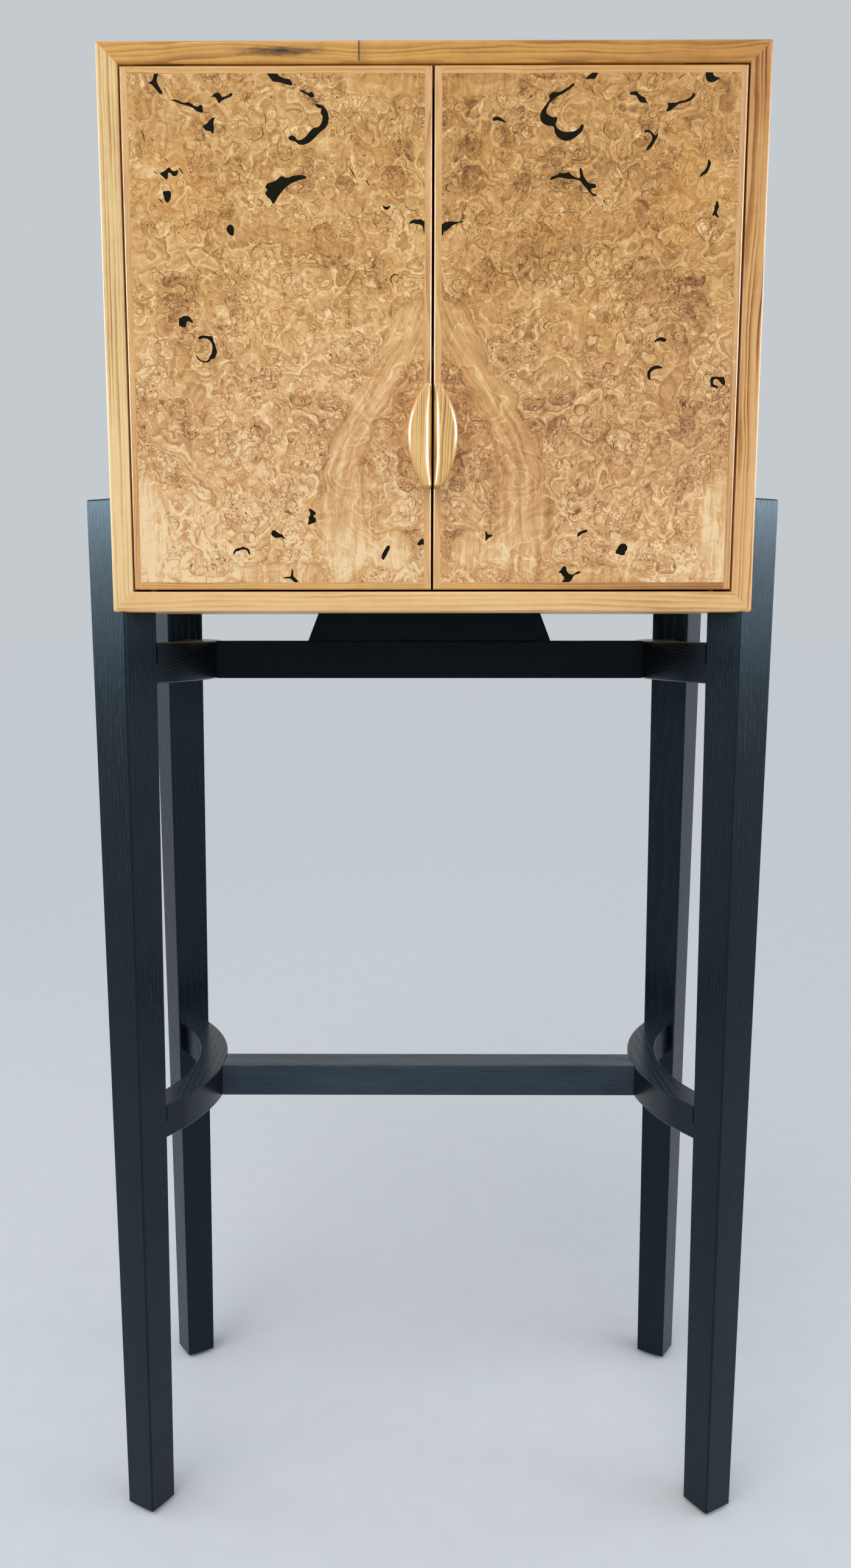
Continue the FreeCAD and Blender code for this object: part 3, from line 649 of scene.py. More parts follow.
DOOR_CORNERS_PX = {
    "left": ((191.4, 105.2), (711.0, 107.5), (712.9, 968.8), (226.4, 971.0)),
    "right": ((714.5, 107.3), (1230.5, 104.8), (1202.6, 963.0), (717.6, 968.6)),
}
FILLS_PX = {"left": (
    (251, 113, 259, 113, 255, 129, 258, 138, 265, 151, 260, 152, 252, 143, 246.5, 137, 241, 134,
     248, 129),
    (279, 163, 285, 162, 292, 164, 300, 167.5, 307, 166.5, 312.5, 169, 317, 172, 323, 174, 330,
     171, 332.6, 183, 329, 184, 321, 181, 313.5, 175, 304, 172, 294, 169, 287, 166),
    (346, 158, 351, 153, 356.5, 151, 361, 154, 364, 158, 373, 156, 377.6, 152, 381, 153, 379.5,
     157, 373, 160, 364, 164, 359, 169, 355, 162, 351, 158),
    (332, 207, 338, 203, 343, 197, 348, 193, 352, 193, 350, 200, 351, 212, 349, 220, 345, 215, 338,
     214),
    (435, 114, 451, 114, 457, 123, 467, 128, 476, 130, 480, 139, 473, 139, 460, 135, 448, 133, 443,
     127),
    (492, 147.5, 497, 148, 506, 152.5, 512, 151, 517, 158, 510.5, 160, 505, 156, 497, 152),
    (518, 171, 527.5, 172.5, 534.6, 177.5, 540, 189, 540, 201, 535.5, 210.5, 527.5, 217, 518.6,
     226, 510, 234, 501, 238, 492, 238, 485.5, 233, 478, 231, 474, 227, 478, 223, 484, 224, 489,
     230, 495, 230, 502.5, 225, 508, 218, 515, 211, 523, 209, 527.5, 204, 530, 197, 529.6, 190,
     527, 186, 528, 179, 522, 177),
    (504, 292, 499, 288.6, 484.6, 289, 472, 293, 463, 290, 454, 297, 440, 302.5, 437, 309, 440,
     313, 436.5, 318, 440, 324, 445.5, 329, 450.5, 336, 458, 324, 468.6, 311, 479, 302.5, 492, 297,
     502.5, 294.5),
    (262, 285, 268.5, 281, 273, 277.5, 277, 274.6, 281, 279, 286, 281, 291.5, 279, 291, 286, 288,
     289, 283, 288.6, 279, 284, 275.6, 284, 275, 291, 273, 295, 268, 291),
    (267, 316, 269.5, 314, 279, 314, 280.6, 318, 280, 326, 275.6, 333, 271, 330, 268.5, 322),
    (376, 371, 380, 370, 384, 373, 385.5, 379, 385, 385, 384, 388.5, 379, 387, 374.5, 382, 373,
     377),
    (630, 339, 634, 340.5, 638, 341.5, 642.5, 339.5, 642.5, 342, 640, 345, 636, 346.5, 633, 345,
     631, 342),
    (675, 367, 680, 363, 687, 363, 693, 362, 696, 364.5, 700.5, 368, 700.5, 386, 699.5, 388, 698,
     383, 697, 377, 695, 373, 692, 371, 686, 370, 680, 368.5, 676, 370),
    (296, 525, 299, 523, 303, 521, 308, 520.5, 313, 522, 317, 527, 319, 531, 316, 531.5, 313,
     529.5, 309.5, 530, 308, 534, 306.5, 539, 301, 539, 296, 536, 295.5, 530),
    (324, 584.5, 328, 589, 332, 593, 337, 595, 341, 595, 345, 592.5, 347, 588, 350, 582, 351, 576,
     351, 569, 349, 564, 345, 560, 341, 558, 336, 557.5, 332, 559, 328, 558.5, 328, 556, 332,
     553.5, 338, 553, 345, 554, 351, 554.5, 352.5, 560, 355, 566, 358, 575, 359, 581, 357.5, 586,
     355, 591, 350, 592, 346.5, 596, 341, 597.5, 336, 597, 331, 595, 327, 591.5),
    (451, 876, 453, 873.5, 457, 873, 460, 875, 464, 878, 469, 880, 471, 883, 473.5, 886.5, 471,
     886.5, 467, 884.5, 462, 885, 458, 885.5, 454, 883, 451, 880),
    (512, 838, 515, 837.5, 519, 840, 523, 843, 524, 846, 521, 848, 520, 850, 523, 853, 524.5, 857,
     522, 860, 517, 862, 512, 863.5, 511, 861, 512.5, 857, 512, 851, 514, 849, 514.5, 845, 513,
     841),
    (389, 912, 389, 908.5, 391, 905, 395, 902.5, 400, 901.5, 404, 899.8, 408, 901, 413, 903, 415.5,
     907, 416.5, 912, 414, 912, 412.5, 909, 411, 906, 407, 904.5, 402, 905, 397, 907, 393, 908,
     391, 912),
    (470, 951, 476, 949, 482, 948.5, 484, 945, 484.5, 940, 486, 936, 487.5, 940, 487.5, 944, 488,
     948, 491, 951, 495, 955, 496, 958.5, 491, 958.5, 487, 955.5, 483, 952, 477, 951.5),
    (632, 915, 634, 909, 637, 904, 640, 899, 643, 897, 645.5, 898.5, 645, 903, 642, 909, 638.5,
     916, 635.5, 920.5, 632.5, 919),
    (690.5, 893, 693, 890.5, 696, 887, 699, 886, 701.5, 888, 701.5, 893, 701.5, 896, 698, 895.5,
     694, 897, 691, 896.5),
), "right": (
    (975, 114, 983.5, 114, 982.5, 120, 980, 127, 976, 130, 971, 129.5, 964, 130.5, 964, 128, 967,
     125, 971, 121.5, 974, 118),
    (943.5, 137, 944, 140, 939, 145, 932, 150, 926, 154, 920, 157, 914, 160.5, 909, 164.5, 904,
     170, 900, 178, 898.5, 185, 901, 188.5, 906, 191.5, 911, 193, 915, 192, 916.5, 196, 915.5, 200,
     914, 204, 915, 208, 918, 212, 924, 215.5, 930, 217, 938, 216.8, 945, 215.5, 951, 212, 954,
     208, 956, 205, 959, 204.5, 960, 208, 958.5, 213, 956, 217.5, 951, 222, 945, 227, 939, 230,
     933, 231.8, 926, 231, 919, 227, 914, 221, 912, 216, 911.5, 210.5, 908, 207.5, 902, 207, 896,
     205, 891, 201, 888.5, 195, 889, 188, 891, 182, 896, 175, 900, 169, 904, 163, 903, 158, 904,
     155.5, 909, 152, 915, 151.5, 921, 151, 928, 147, 935, 143, 940, 138.5),
    (810.5, 198.5, 811, 195, 814, 193, 819, 192.3, 824, 194, 828, 197.5, 833, 201.5, 829, 201.5,
     823, 199.5, 817, 198.5, 813, 199.5),
    (1036, 152, 1040, 150.5, 1046, 149.8, 1050, 154, 1055, 158, 1060, 160.5, 1062, 165, 1064.5,
     170, 1060, 168.5, 1054, 168.5, 1050.5, 166, 1048, 161, 1045, 157, 1040, 156, 1036, 155),
    (1097, 169.5, 1103, 168.5, 1110, 168.5, 1117, 166, 1124, 164.5, 1131, 161.5, 1136, 157.5, 1139,
     152.5, 1142, 153.5, 1141, 158, 1137, 163, 1131, 166.5, 1122, 168.5, 1115, 171, 1110, 175,
     1105, 179, 1100, 182, 1096, 183, 1095.5, 180, 1098, 175),
    (1159.5, 114, 1169, 114, 1170.5, 118, 1172.5, 123, 1176, 126, 1181, 127, 1182, 129, 1178, 131,
     1173, 134, 1167, 135, 1162, 132.5, 1159.5, 128, 1159, 120),
    (1059.5, 214.5, 1063, 213, 1068, 214, 1073, 218, 1076, 221.5, 1079, 222, 1080.5, 218, 1082,
     219, 1080.5, 225, 1078, 230, 1074, 237, 1070, 243, 1064, 247, 1062.5, 245.5, 1065, 240, 1069,
     234, 1072, 228, 1071.5, 223, 1069, 219, 1065, 217, 1060, 217),
    (1164, 261, 1167, 264, 1168.5, 268, 1166, 275, 1163.5, 281, 1160, 285, 1155, 287.5, 1151,
     290.5, 1150.5, 288, 1153, 284, 1158, 279, 1161.5, 273, 1163, 267),
    (906, 293, 911, 290, 917, 287, 921, 284.5, 927, 285, 932, 284, 936, 283, 939, 286, 944, 290,
     950, 292.5, 954, 292, 954, 285, 953.5, 279, 955.5, 276, 957.5, 279, 960, 288, 963, 294, 968,
     300, 972, 301.5, 978, 302, 981, 305, 980, 308.5, 975, 309.5, 972, 311, 973, 315, 978, 319,
     981, 320, 980.5, 322.5, 975, 321.5, 970, 316, 964, 309, 959, 303, 955, 298, 949, 295.5, 941,
     294.5, 932, 294, 925, 292.5, 918, 292, 912, 294.5, 906.5, 296),
    (1177, 330, 1180, 330, 1181, 335, 1182, 339, 1180, 343, 1178.5, 348, 1180, 352, 1182, 356,
     1178.5, 356, 1175, 353, 1171, 353.5, 1171.5, 350, 1174, 345, 1174.5, 339, 1176.5, 334),
    (727, 373, 729, 369, 735, 366, 742, 365, 750, 365.5, 758, 365, 766, 363.5, 758, 367, 750,
     369.5, 744, 373, 740, 377, 735, 380.5, 731.5, 381, 730.5, 386, 728, 388.5, 727, 387, 727,
     380),
    (1077, 560, 1080, 556.5, 1085, 553.5, 1090, 552.8, 1094, 554.5, 1097, 556, 1096, 559, 1092,
     560.5, 1087, 558.5, 1082, 559.5, 1078, 561.5),
    (1066, 611, 1068, 607, 1072, 602.5, 1078, 599.5, 1084, 599, 1089, 601, 1091, 604, 1087, 604,
     1082, 604.5, 1077, 606, 1073, 609, 1071, 613, 1071, 618, 1071.5, 623, 1068.5, 622, 1066.5,
     617),
    (1169, 620, 1172, 617, 1178, 616.5, 1184, 617, 1190, 617, 1192, 621, 1193, 626, 1192.5, 630,
     1189, 630, 1186, 627, 1182, 622, 1178, 620.5, 1174.5, 622, 1173.5, 626, 1175, 629.5, 1179,
     631, 1182, 633, 1181, 635, 1176, 634.5, 1171, 632.5, 1169, 628),
    (802.5, 873, 804.5, 873, 807, 877, 811, 878, 815, 879, 811, 882, 807.5, 884, 805, 887.5, 803,
     887, 803, 880),
    (953, 878, 955, 873, 959, 871, 964, 869, 969, 868, 969.5, 871, 965, 873.5, 960, 875, 957, 878,
     954.5, 880),
    (1016, 903, 1019, 898, 1023, 892, 1028, 890, 1032, 891, 1035, 896, 1034, 901, 1031.5, 904,
     1031, 908, 1027, 909.5, 1022, 908, 1018, 907, 1015.8, 905.5),
    (932, 928, 935.5, 930, 936, 934, 938.5, 939, 942, 941, 946, 941.5, 951, 938.5, 956, 936, 959,
     937.5, 955, 940.5, 950, 942, 947, 945, 945, 949.5, 941, 953, 936, 955.5, 928, 955.5, 928, 954,
     931.5, 950, 932, 946, 929, 943, 927.5, 940, 924, 939, 923.5, 937, 927, 934, 929, 930),
)}
# Open cracks and the rims of eyes that opened: a width, then the line
CRACKS_PX = {"left": (
    (1.6, 230, 213, 233, 219, 236, 232),
    (1.4, 269.5, 259, 272, 262, 275, 265),
    (1.6, 251, 281, 254, 283, 257, 285),
    (2.0, 293, 276, 297, 280, 300, 286),
    (1.8, 260, 327, 264, 330, 267, 335),
    (1.2, 434, 187, 436, 194, 437, 202),
    (1.6, 574, 274, 580, 284, 587, 296),
    (1.8, 602, 297, 605, 301, 607.5, 306),
    (1.2, 419, 718, 416.5, 713, 415.5, 709, 417, 705, 420, 702.5, 424, 701.5, 428, 702.5, 431, 705,
     433, 710),
    (1.3, 480, 722, 479, 727, 483, 728, 486, 724, 482, 721),
    (2.0, 648, 468, 644, 463, 646, 456, 652, 453, 657, 454),
    (1.0, 668, 340, 674, 346, 682, 348, 688, 345),
), "right": (
    (1.2, 994, 600.5, 998, 597, 1003, 596, 1008, 598, 1012, 602),
    (1.4, 738, 302, 735, 308, 736, 314, 740, 316),
    (1.4, 1114, 130, 1120, 125, 1126, 121),
    (1.6, 1064, 230, 1060, 227, 1062, 223),
    (1.3, 1004, 728, 1008, 733, 1010, 738),
    (1.3, 1014, 724, 1011, 731, 1013, 737),
    (1.3, 1119, 657, 1125, 662, 1131, 669),
    (1.3, 1128, 657, 1125, 662, 1123, 668),
)}
FILL_PROUD = 0.06 * MM
FILL_DEPTH = 0.8 * MM
FILL_MARGIN = 0.05 * MM
CURVE_STEPS = 4
CRACK_TAPER = 0.6       # lower is blunter


def square_to_door(side):
    """The plane map that takes the door's four corners in the photograph to the door's own."""
    low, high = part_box("door_" + side + "_lipping_hinge")
    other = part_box("door_" + side + "_lipping_meeting")
    left, right = min(low.x, other[0].x), max(high.x, other[1].x)
    targets = ((left, high.z), (right, high.z), (right, low.z), (left, low.z))
    rows, values = [], []
    for (px, py), (x, z) in zip(DOOR_CORNERS_PX[side], targets):
        rows.append([px, py, 1, 0, 0, 0, -px * x, -py * x])
        rows.append([0, 0, 0, px, py, 1, -px * z, -py * z])
        values += [x, z]
    return np.append(np.linalg.solve(np.array(rows), np.array(values)), 1).reshape(3, 3)


def smoothed(flat, closed=True):
    """A curve through the points, given as x, y, x, y and so on."""
    points = list(zip(flat[::2], flat[1::2]))
    count = len(points)
    out = []
    for i in range(count if closed else count - 1):
        near = [points[(i + k) % count] if closed else points[min(max(i + k, 0), count - 1)]
                for k in (-1, 0, 1, 2)]
        for j in range(CURVE_STEPS):
            t = j / CURVE_STEPS
            weights = (-0.5 * t + t * t - 0.5 * t ** 3, 1 - 2.5 * t * t + 1.5 * t ** 3,
                       0.5 * t + 2 * t * t - 1.5 * t ** 3, -0.5 * t * t + 0.5 * t ** 3)
            out.append(tuple(sum(w * p[k] for w, p in zip(weights, near)) for k in (0, 1)))
    return out if closed else out + points[-1:]


def ribbon(flat, width):
    """The outline of a line that tapers to both its ends."""
    line = smoothed(flat, closed=False)
    left, right = [], []
    for i, point in enumerate(line):
        before, after = line[max(i - 1, 0)], line[min(i + 1, len(line) - 1)]
        dx, dy = after[0] - before[0], after[1] - before[1]
        length = math.hypot(dx, dy) or 1.0
        half = width / 2 * math.sin(math.pi * (i + 0.6) / (len(line) + 0.2)) ** CRACK_TAPER
        left.append((point[0] - dy / length * half, point[1] + dx / length * half))
        right.append((point[0] + dy / length * half, point[1] - dx / length * half))
    return left + right[::-1]


def add_fills(side, material):
    """The black resin in one door's burl, level with its face."""
    door_map = square_to_door(side)
    low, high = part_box("door_" + side + "_burl_veneer")
    outlines = [smoothed(flat) for flat in FILLS_PX[side]]
    outlines += [ribbon(flat[1:], flat[0]) for flat in CRACKS_PX[side]]
    vertices, faces = [], []
    for outline in outlines:
        first, count = len(vertices), len(outline)
        for y in (low.y - FILL_PROUD, low.y + FILL_DEPTH):
            for pixel in outline:
                x, z, w = door_map @ np.array([*pixel, 1.0])
                x = min(max(x / w, low.x + FILL_MARGIN), high.x - FILL_MARGIN)
                z = min(max(z / w, low.z + FILL_MARGIN), high.z - FILL_MARGIN)
                vertices.append((x, y, z))
        faces.append([first + i for i in range(count)])
        faces.append([first + count + i for i in reversed(range(count))])
        faces += tube(first, 2, count)
    add_piece("door_" + side + "_resin_fills", vertices, faces, material, "door_" + side)


# Handles

HANDLE_END_ROUND = 1.6 * MM
HANDLE_OUTER_ROUND = 5.0 * MM
HANDLE_INNER_ROUND = 9.0 * MM
HANDLE_ROUND_SHARE = 0.45       # a round takes no more of the width
HANDLE_END_WIDTH = 6.5 * MM
HANDLE_CROWN = 0.35 * MM
HANDLE_STEPS = 44
HANDLE_END_STEPS = 6
HANDLE_ROUND_STEPS = 8
HANDLE_FRONT_STEPS = 6


def quarter(steps):
    """The sines and cosines of a right angle's steps."""
    turns = [math.radians(90 * i / steps) for i in range(steps + 1)]
    return [(math.sin(turn), math.cos(turn)) for turn in turns]


def add_handle(side, material):
    """The bowed handle with its rounded rim, in rings from its lower to its upper end."""
    low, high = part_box("door_" + side + "_handle")
    sign, edge = (-1, high.x) if side == "left" else (1, low.x)
    wide, deep = high.x - low.x, high.y - low.y
    middle, half = (low.z + high.z) / 2, (high.z - low.z) / 2
    bow = wide - HANDLE_END_WIDTH
    radius = (half * half + bow * bow) / (2 * bow)
    inner = half - HANDLE_END_ROUND
    end = [(inner + HANDLE_END_ROUND * s, HANDLE_END_ROUND * (1 - c))
           for s, c in quarter(HANDLE_END_STEPS)]
    rows = [(-z, inset) for z, inset in reversed(end)]
    rows += [(-inner + 2 * inner * i / HANDLE_STEPS, 0.0) for i in range(1, HANDLE_STEPS)]
    rows += end
    vertices = []
    for z, inset in rows:
        width = wide - (radius - math.sqrt(radius * radius - z * z)) - inset
        vertices += [(edge + sign * x, high.y - y, middle + z)
                     for x, y in handle_section(width, deep - inset, inset)]
    count = len(vertices) // len(rows)
    faces = tube(0, len(rows), count)
    faces.append(list(range(count)))
    faces.append([(len(rows) - 1) * count + i for i in reversed(range(count))])
    name = "door_" + side + "_handle"
    add_piece(name + "_shaped", vertices, faces, material, "door_" + side, "handle_wood", [name])


def handle_section(width, deep, inset):
    """Points of a level cut: x away from the meeting edge, y out from the door."""
    inner = min(HANDLE_INNER_ROUND, width * HANDLE_ROUND_SHARE)
    outer = min(HANDLE_OUTER_ROUND, width * HANDLE_ROUND_SHARE)
    flat = width - inner - outer - inset
    points = [(inset, 0.0), (inset, (deep - inner) * 0.5)]
    points += [(inset + inner * (1 - c), deep - inner * (1 - s))
               for s, c in quarter(HANDLE_ROUND_STEPS)]
    for i in range(1, HANDLE_FRONT_STEPS):
        share = i / HANDLE_FRONT_STEPS
        crown = HANDLE_CROWN * math.sin(math.pi * share)
        points.append((inset + inner + flat * share, deep + crown - HANDLE_CROWN))
    points += [(width - outer * (1 - s), deep - outer * (1 - c))
               for s, c in quarter(HANDLE_ROUND_STEPS)]
    return points + [(width, (deep - outer) * 0.5), (width, 0.0)]


# Doors' upright edgings with rounder arrises

ARRIS_OFFSET = 0.75 * MM
ARRIS_REACH = 1.3 * MM
ARRIS_STEPS = 3


def add_lipping(name, material, outward):
    """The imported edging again, with its eased front arris rounded off; outward is the
    direction in x of the side it is on."""
    low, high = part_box(name)
    rim = low.x if outward < 0 else high.x
    work = welded(frame["nodes"][name])
    bmesh.ops.dissolve_limit(work, angle_limit=math.radians(1), verts=work.verts,
                             edges=work.edges)
    arris = [edge for edge in work.edges
             if abs(edge.verts[0].co.z - edge.verts[1].co.z) > (high.z - low.z) / 2
             and all(v.co.y < low.y + ARRIS_REACH and abs(v.co.x - rim) < ARRIS_REACH
                     for v in edge.verts)]
    bmesh.ops.bevel(work, geom=arris, offset=ARRIS_OFFSET, segments=ARRIS_STEPS, profile=0.5,
                    affect="EDGES", clamp_overlap=True)
    finish_piece(name + "_eased", work, bpy.data.meshes.new(name + "_eased"), material,
                 body_of(frame["nodes"][name]), "lipping", [name])


# Screws, magnets, strikes, pins and glides, turned round

HEAD_FIT = 0.93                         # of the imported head's radius
SHANK_SHARE = 0.46                      # of the head's radius
SLOT_LONG, SLOT_WIDE = 0.60, 0.15       # arms of a cross recess in a head of radius 1
POINT_SHARE, POINT_MOST = 0.3, 4 * MM
END_REACH = 0.05 * MM
X_AXIS, Y_AXIS, Z_AXIS = 0, 1, 2
# Turned profiles: share of the length, share of the radius
DISC = ((0.0, 0.90), (0.02, 0.90), (0.12, 0.93), (0.88, 0.93), (0.98, 0.90), (1.0, 0.88))
PIN = ((0.0, 0.82), (0.03, 0.95), (0.34, 0.96), (0.36, 0.86), (0.40, 0.86), (0.42, 0.96),
       (0.58, 0.96), (0.60, 0.86), (0.64, 0.86), (0.66, 0.96), (0.97, 0.95), (1.0, 0.82))
GLIDE = ((0.0, 0.86), (0.05, 0.93), (0.16, 0.985), (0.24, 1.0), (1.0, 1.0))


def islands(node):
    """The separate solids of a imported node, as arrays of vertices in metres."""
    work = welded(node)
    for vert in work.verts:
        vert.tag = False
    groups = []
    for start in work.verts:
        if start.tag:
            continue
        start.tag = True
        waiting, group = [start], []
        while waiting:
            vert = waiting.pop()
            group.append(tuple(vert.co))
            for edge in vert.link_edges:
                other = edge.other_vert(vert)
                if not other.tag:
                    other.tag = True
                    waiting.append(other)
        groups.append(np.array(group))
    work.free()
    return groups


def cross_outline():
    """A cross of four arms as 36 points around it."""
    corners = []
    for turn in range(4):
        c, s = round(math.cos(turn * math.pi / 2)), round(math.sin(turn * math.pi / 2))
        for a, b in ((SLOT_LONG, -SLOT_WIDE), (SLOT_LONG, SLOT_WIDE), (SLOT_WIDE, SLOT_WIDE)):
            corners.append((a * c - b * s, a * s + b * c))
    points = []
    for i, (a, b) in enumerate(corners):
        c, d = corners[(i + 1) % len(corners)]
        points += [(a + (c - a) * k / 3, b + (d - b) * k / 3) for k in range(3)]
    return points


CROSS = cross_outline()
CIRCLE = [(a / math.hypot(a, b), b / math.hypot(a, b)) for a, b in CROSS]


class Turned:
    """Round solids of one node, gathered into one mesh."""

    def __init__(self, name, axis):
        self.node = frame["nodes"][name]
        self.name = name
        self.axis = axis
        self.others = [k for k in range(3) if k != axis]
        self.vertices, self.faces = [], []

    def solids(self):
        """For each island its middle, its low and high end, the radius at each end, and its
        vertices' places along the axis."""
        for group in islands(self.node):
            centre = (group.min(0) + group.max(0)) / 2
            along = group[:, self.axis]
            across = np.hypot(*(group[:, self.others] - centre[self.others]).T)
            low, high = along.min(), along.max()
            yield (centre, low, high, across[along < low + END_REACH].max(),
                   across[along > high - END_REACH].max(), along)

    def point(self, centre, along, a=0.0, b=0.0):
        """A vertex at that place along the axis and those distances from the centre."""
        at = [0.0, 0.0, 0.0]
        at[self.axis] = along
        at[self.others[0]] = centre[self.others[0]] + a
        at[self.others[1]] = centre[self.others[1]] + b
        self.vertices.append(at)

    def loft(self, centre, rings):
        """Rings are a place along the axis, a size and an outline; both ends are closed."""
        first, count = len(self.vertices), len(CIRCLE)
        for along, size, outline in rings:
            for a, b in outline:
                self.point(centre, along, a * size, b * size)
        self.faces += tube(first, len(rings), count)
        for r in (0, len(rings) - 1):
            middle, start = len(self.vertices), first + r * count
            self.point(centre, rings[r][0])
            self.faces += [[start + i, start + (i + 1) % count, middle] for i in range(count)]

    def done(self, material):
        slot = self.node.material_slots[0].name.split(".")[0]
        add_piece(self.name + "_turned", self.vertices, self.faces, material,
                  body_of(self.node), slot, [self.name])


def add_screws(name, axis, material):
    """Countersunk screws with a cross recess in their heads."""
    work = Turned(name, axis)
    for centre, low, high, low_size, high_size, along in work.solids():
        head, tip = (low, high) if low_size > high_size else (high, low)
        into = 1 if tip > head else -1
        size = max(low_size, high_size) * HEAD_FIT
        levels = sorted(set(np.round(along, 5)), key=lambda v: abs(v - head))
        neck, shank = levels[1], size * SHANK_SHARE
        point = min(abs(tip - neck) * POINT_SHARE, POINT_MOST)
        work.loft(centre, [
            (tip, shank * 0.2, CIRCLE), (tip - into * point, shank, CIRCLE),
            (neck, shank, CIRCLE), (head + into * 0.25 * MM, size, CIRCLE),
            (head + into * 0.08 * MM, size * 0.985, CIRCLE), (head, size * 0.93, CIRCLE),
            (head, size, CROSS), (head + into * size * 0.12, size * 0.94, CROSS),
            (head + into * size * 0.5, size * 0.45, CROSS)])
    work.done(material)


def add_rounds(name, axis, material, profile):
    """Turned pieces; profile pairs a share of the length with a share of the radius."""
    work = Turned(name, axis)
    for centre, low, high, low_size, high_size, _ in work.solids():
        size = max(low_size, high_size)
        work.loft(centre, [(low + (high - low) * share, size * part, CIRCLE)
                           for share, part in profile])
    work.done(material)


# Materials, the pieces that stand for nodes, and the nodes' looks

def make_materials():
    """Every material of the part, by its use."""
    made = {
        "resin": filler(),
        "rails": stained("stained_y", "y", 11.0, relief=0.035),
        "legs": stained("stained_z", "z", 7.0),
        "tenons": stained("stained_x", "x", 3.0),
        # Painted shade for the upper stretcher and the support block.
        "shaded": stained("stained_dark", "x", 17.0, SHADED_TONES, 0.16),
        # Painted sheen for the lower stretcher.
        "grey": stained("stained_grey", "x", 27.0, PAINTED_SHEEN_TONES, 0.24),
        "brass": brushed("brass", (176, 138, 78), (110, 82, 46), 0.36),
        # The hinge washers' metal, darkened as painted shade of the narrow gaps that they sit in.
        "bronze": brushed("bronze", (58, 46, 32), (40, 32, 24), 0.5),
        "steel": brushed("steel", (176, 176, 178), (110, 108, 106), 0.3),
        "nickel": brushed("nickel", (196, 192, 184), (150, 146, 138), 0.18),
        "glide": glide_plastic(),
        "burl": burl_wood(),
        "inside": timber("inside_wood", "x", INSIDE_TONES, 4.0, ring=4.5, pith=(160, 60)),
        "inner": timber("inner_upright", "z", INSIDE_TONES, 14.0, ring=5, pith=(150, 90)),
        # The shade numbers of the boards and lippings are painted light and shade: darker towards
        # the right, the side boards lighter towards the bottom, and the right door's bottom
        # lipping darker still.
        "top": timber("case_top_wood", "x", TOP_TONES, 1.0, pith=(30, 1600), bold=0.42,
                      extra=knot, shade=lambda g: g.x.rise(-60, 300) * -0.16),
        "bottom": timber("case_bottom_wood", "x", CASE_TONES, 2.0, pith=(60, 820),
                         shade=lambda g: 0.08 - g.x.rise(-100, 300) * 0.06),
        "left": timber("case_left_wood", "z", LEFT_TONES, 5.0, ring=2.3, pith=(-460, 20),
                       bold=0.62, gloss=0.25, shade=lambda g: g.z.rise(1350, 1050) * 0.12),
        "right": timber("case_right_wood", "z", RIGHT_TONES, 6.0, ring=3.4, pith=(430, -20),
                        bold=0.75, gloss=0.25,
                        shade=lambda g: g.z.rise(1400, 1050) * 0.24 - 0.14),
        "across": timber("lipping_across", "x", LIPPING_TONES, 9.0, ring=2.0, pith=(40, 1300),
                         shade=lambda g: (0.04 - g.x.rise(0, 280) * 0.12
                                          - g.x.rise(0, 200) * g.z.rise(1200, 1000) * 0.30)),
        "upright": timber("lipping_upright", "z", LIPPING_TONES, 8.0, ring=2.0, pith=(60, 120),
                          rough=0.24, gloss=0.9,
                          shade=lambda g: 0.04 - g.x.rise(0, 280) * 0.14),
    }
    for side, seed, ring, pith, bold in (("left", 21.0, 2.2, (60, -220), 0.6),
                                         ("right", 23.0, 2.6, (-50, -230), 0.9)):
        made[side + "_handle"] = timber("handle_" + side + "_wood", "z", HANDLE_TONES, seed,
                                        ring=ring, pith=pith, rough=0.2, bold=bold, gloss=0.9)
    return made


# A node takes the material of the first of these words that its name holds
NODE_MATERIALS = (
    ("splines", "bottom"), ("inside_veneer", "inner"), ("burl_veneer", "burl"),
    ("lipping_top", "across"), ("lipping_bottom", "across"), ("lipping", "upright"),
    ("screws", "steel"), ("strike", "steel"), ("magnets", "steel"),
    ("left_handle", "left_handle"), ("right_handle", "right_handle"),
    ("washers", "bronze"), ("hinge", "brass"), ("glides", "glide"), ("leg_", "legs"),
    ("side_rail", "rails"), ("stretcher_upper", "shaded"), ("support_block", "shaded"),
    ("stretcher_lower", "grey"), ("tenons", "tenons"), ("case_top", "top"),
    ("case_bottom", "bottom"), ("case_left", "left"), ("case_right", "right"), ("", "inside"))


def dress_nodes(made):
    for name, node in frame["nodes"].items():
        use = next(use for word, use in NODE_MATERIALS if word in name)
        for slot in node.material_slots:
            slot.material = made[use]


def add_door_pieces(side, made):
    door = "door_" + side
    outward = -1 if side == "left" else 1
    add_handle(side, made[side + "_handle"])
    add_lipping(door + "_lipping_hinge", made["upright"], outward)
    add_lipping(door + "_lipping_meeting", made["upright"], -outward)
    add_screws(door + "_handle_screws", Y_AXIS, made["steel"])
    add_screws(door + "_hinge_screws", Z_AXIS, made["brass"])
    add_rounds(door + "_strike", Y_AXIS, made["steel"], DISC)


def add_case_and_stand_pieces(made):
    for name, axis, metal in (
            ("back_panel_screws", Y_AXIS, "steel"), ("catch_screws", Z_AXIS, "steel"),
            ("support_block_screws", Z_AXIS, "steel"), ("hinge_case_screws", Z_AXIS, "brass"),
            ("leg_screws", X_AXIS, "steel")):
        add_screws(name, axis, made[metal])
    add_rounds("catch_magnets", Y_AXIS, made["nickel"], DISC)
    add_rounds("shelf_pins", X_AXIS, made["steel"], PIN)
    add_rounds("foot_glides", Z_AXIS, made["glide"], GLIDE)


# Light and floor

BACKDROP = (197, 202, 206)
FLOOR_TONES = ((205, 210, 215), (209, 214, 219))
FLOOR_HALF = 60.0
WORLD_TINT = (0.93, 0.97, 1.0, 1)
WORLD_LIGHT = 0.5
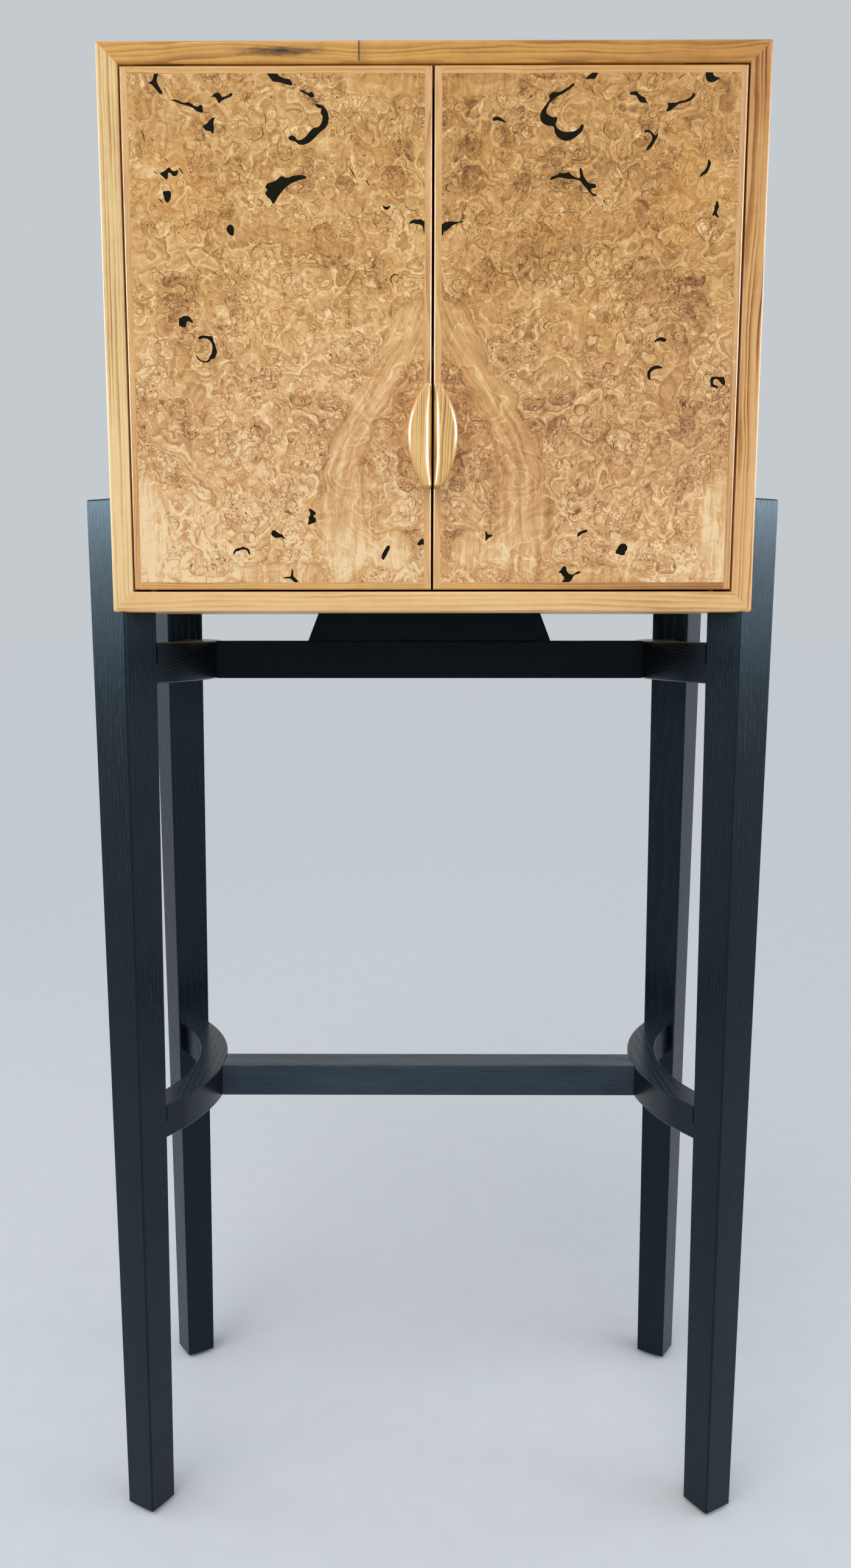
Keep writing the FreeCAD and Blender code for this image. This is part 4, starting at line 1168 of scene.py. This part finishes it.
# Power, direction that it comes from, softness in degrees, colour
SUNS = {"key": (1.3, (-0.5, -1.0, 1.2), 50, (1, 0.98, 0.95)),
        "fill": (0.7, (1.0, -1.0, 0.8), 60, (0.96, 0.98, 1))}
# On both sides: size, power, distance from the middle, y, height, height of the target, colour,
# and whether it lights surfaces or only shines in them
LAMPS = {"light": ((1.5, 0.9), 9, 1.9, -0.25, 1.35, 1.15, (0.95, 0.98, 1), True),
         "window": ((2.4, 0.8), 92, 1.9, -0.4, 1.61, 1.25, (0.9, 0.96, 1), False)}


def add_light(name, kind, power, colour, forward, **settings):
    data = bpy.data.lights.new(name, kind)
    data.energy, data.color = power, colour
    for key, value in settings.items():
        setattr(data, key, value)
    light = place(name, data)
    light.rotation_euler = forward.to_track_quat("-Z", "Y").to_euler()
    return light


def add_lights():
    for name, (power, source, softness, colour) in SUNS.items():
        add_light(name, "SUN", power, colour, -Vector(source), angle=math.radians(softness))
    for side, sign in zip(SIDES, (-1, 1)):
        for name, (size, power, out, y, height, target, colour, lights) in LAMPS.items():
            at = Vector((sign * out, y, height))
            lamp = add_light(side + "_" + name, "AREA", power, colour, Vector((0, y, target)) - at,
                             shape="RECTANGLE", size=size[0], size_y=size[1])
            lamp.location = at
            lamp.visible_diffuse = lights


def add_world():
    """Plain light; the camera, gloss and glass see the backdrop's colour instead."""
    world = bpy.data.worlds.new("studio")
    bpy.context.scene.world = world
    g = Graph(world)
    seen, light = g.add("Background"), g.add("Background")
    seen.inputs["Color"].default_value = linear(BACKDROP)
    light.inputs["Color"].default_value = WORLD_TINT
    light.inputs["Strength"].default_value = WORLD_LIGHT
    rays = g.add("LightPath").outputs
    share = g.math("MAXIMUM", Field(g, rays["Is Camera Ray"]), Field(g, rays["Is Glossy Ray"]))
    share = share.math("MAXIMUM", Field(g, rays["Is Transmission Ray"]))
    mix = g.add("MixShader")
    for socket, source in zip(mix.inputs, (share, light.outputs[0], seen.outputs[0])):
        g.feed(socket, source)
    g.feed(g.add("OutputWorld").inputs["Surface"], mix.outputs[0])


def add_floor():
    mesh = bpy.data.meshes.new("floor")
    half = FLOOR_HALF
    corners = [(-half, -half, 0), (half, -half, 0), (half, half, 0), (-half, half, 0)]
    mesh.from_pydata(corners, [], [(0, 1, 2, 3)])
    g = Surface("floor_paper")
    grain = g.noise((g.x, g.y, 0), 40, detail=3)
    mesh.materials.append(g.finish(g.ramp(grain, *zip((0.2, 0.8), FLOOR_TONES)), 0.9, 0.1))
    floor = place("floor", mesh)


add_camera()
add_world()
add_floor()
add_lights()
materials = make_materials()
for side in SIDES:
    add_fills(side, materials["resin"])
for side in SIDES:
    add_door_pieces(side, materials)
add_case_and_stand_pieces(materials)
dress_nodes(materials)

bpy.context.scene.view_settings.view_transform = "Standard"
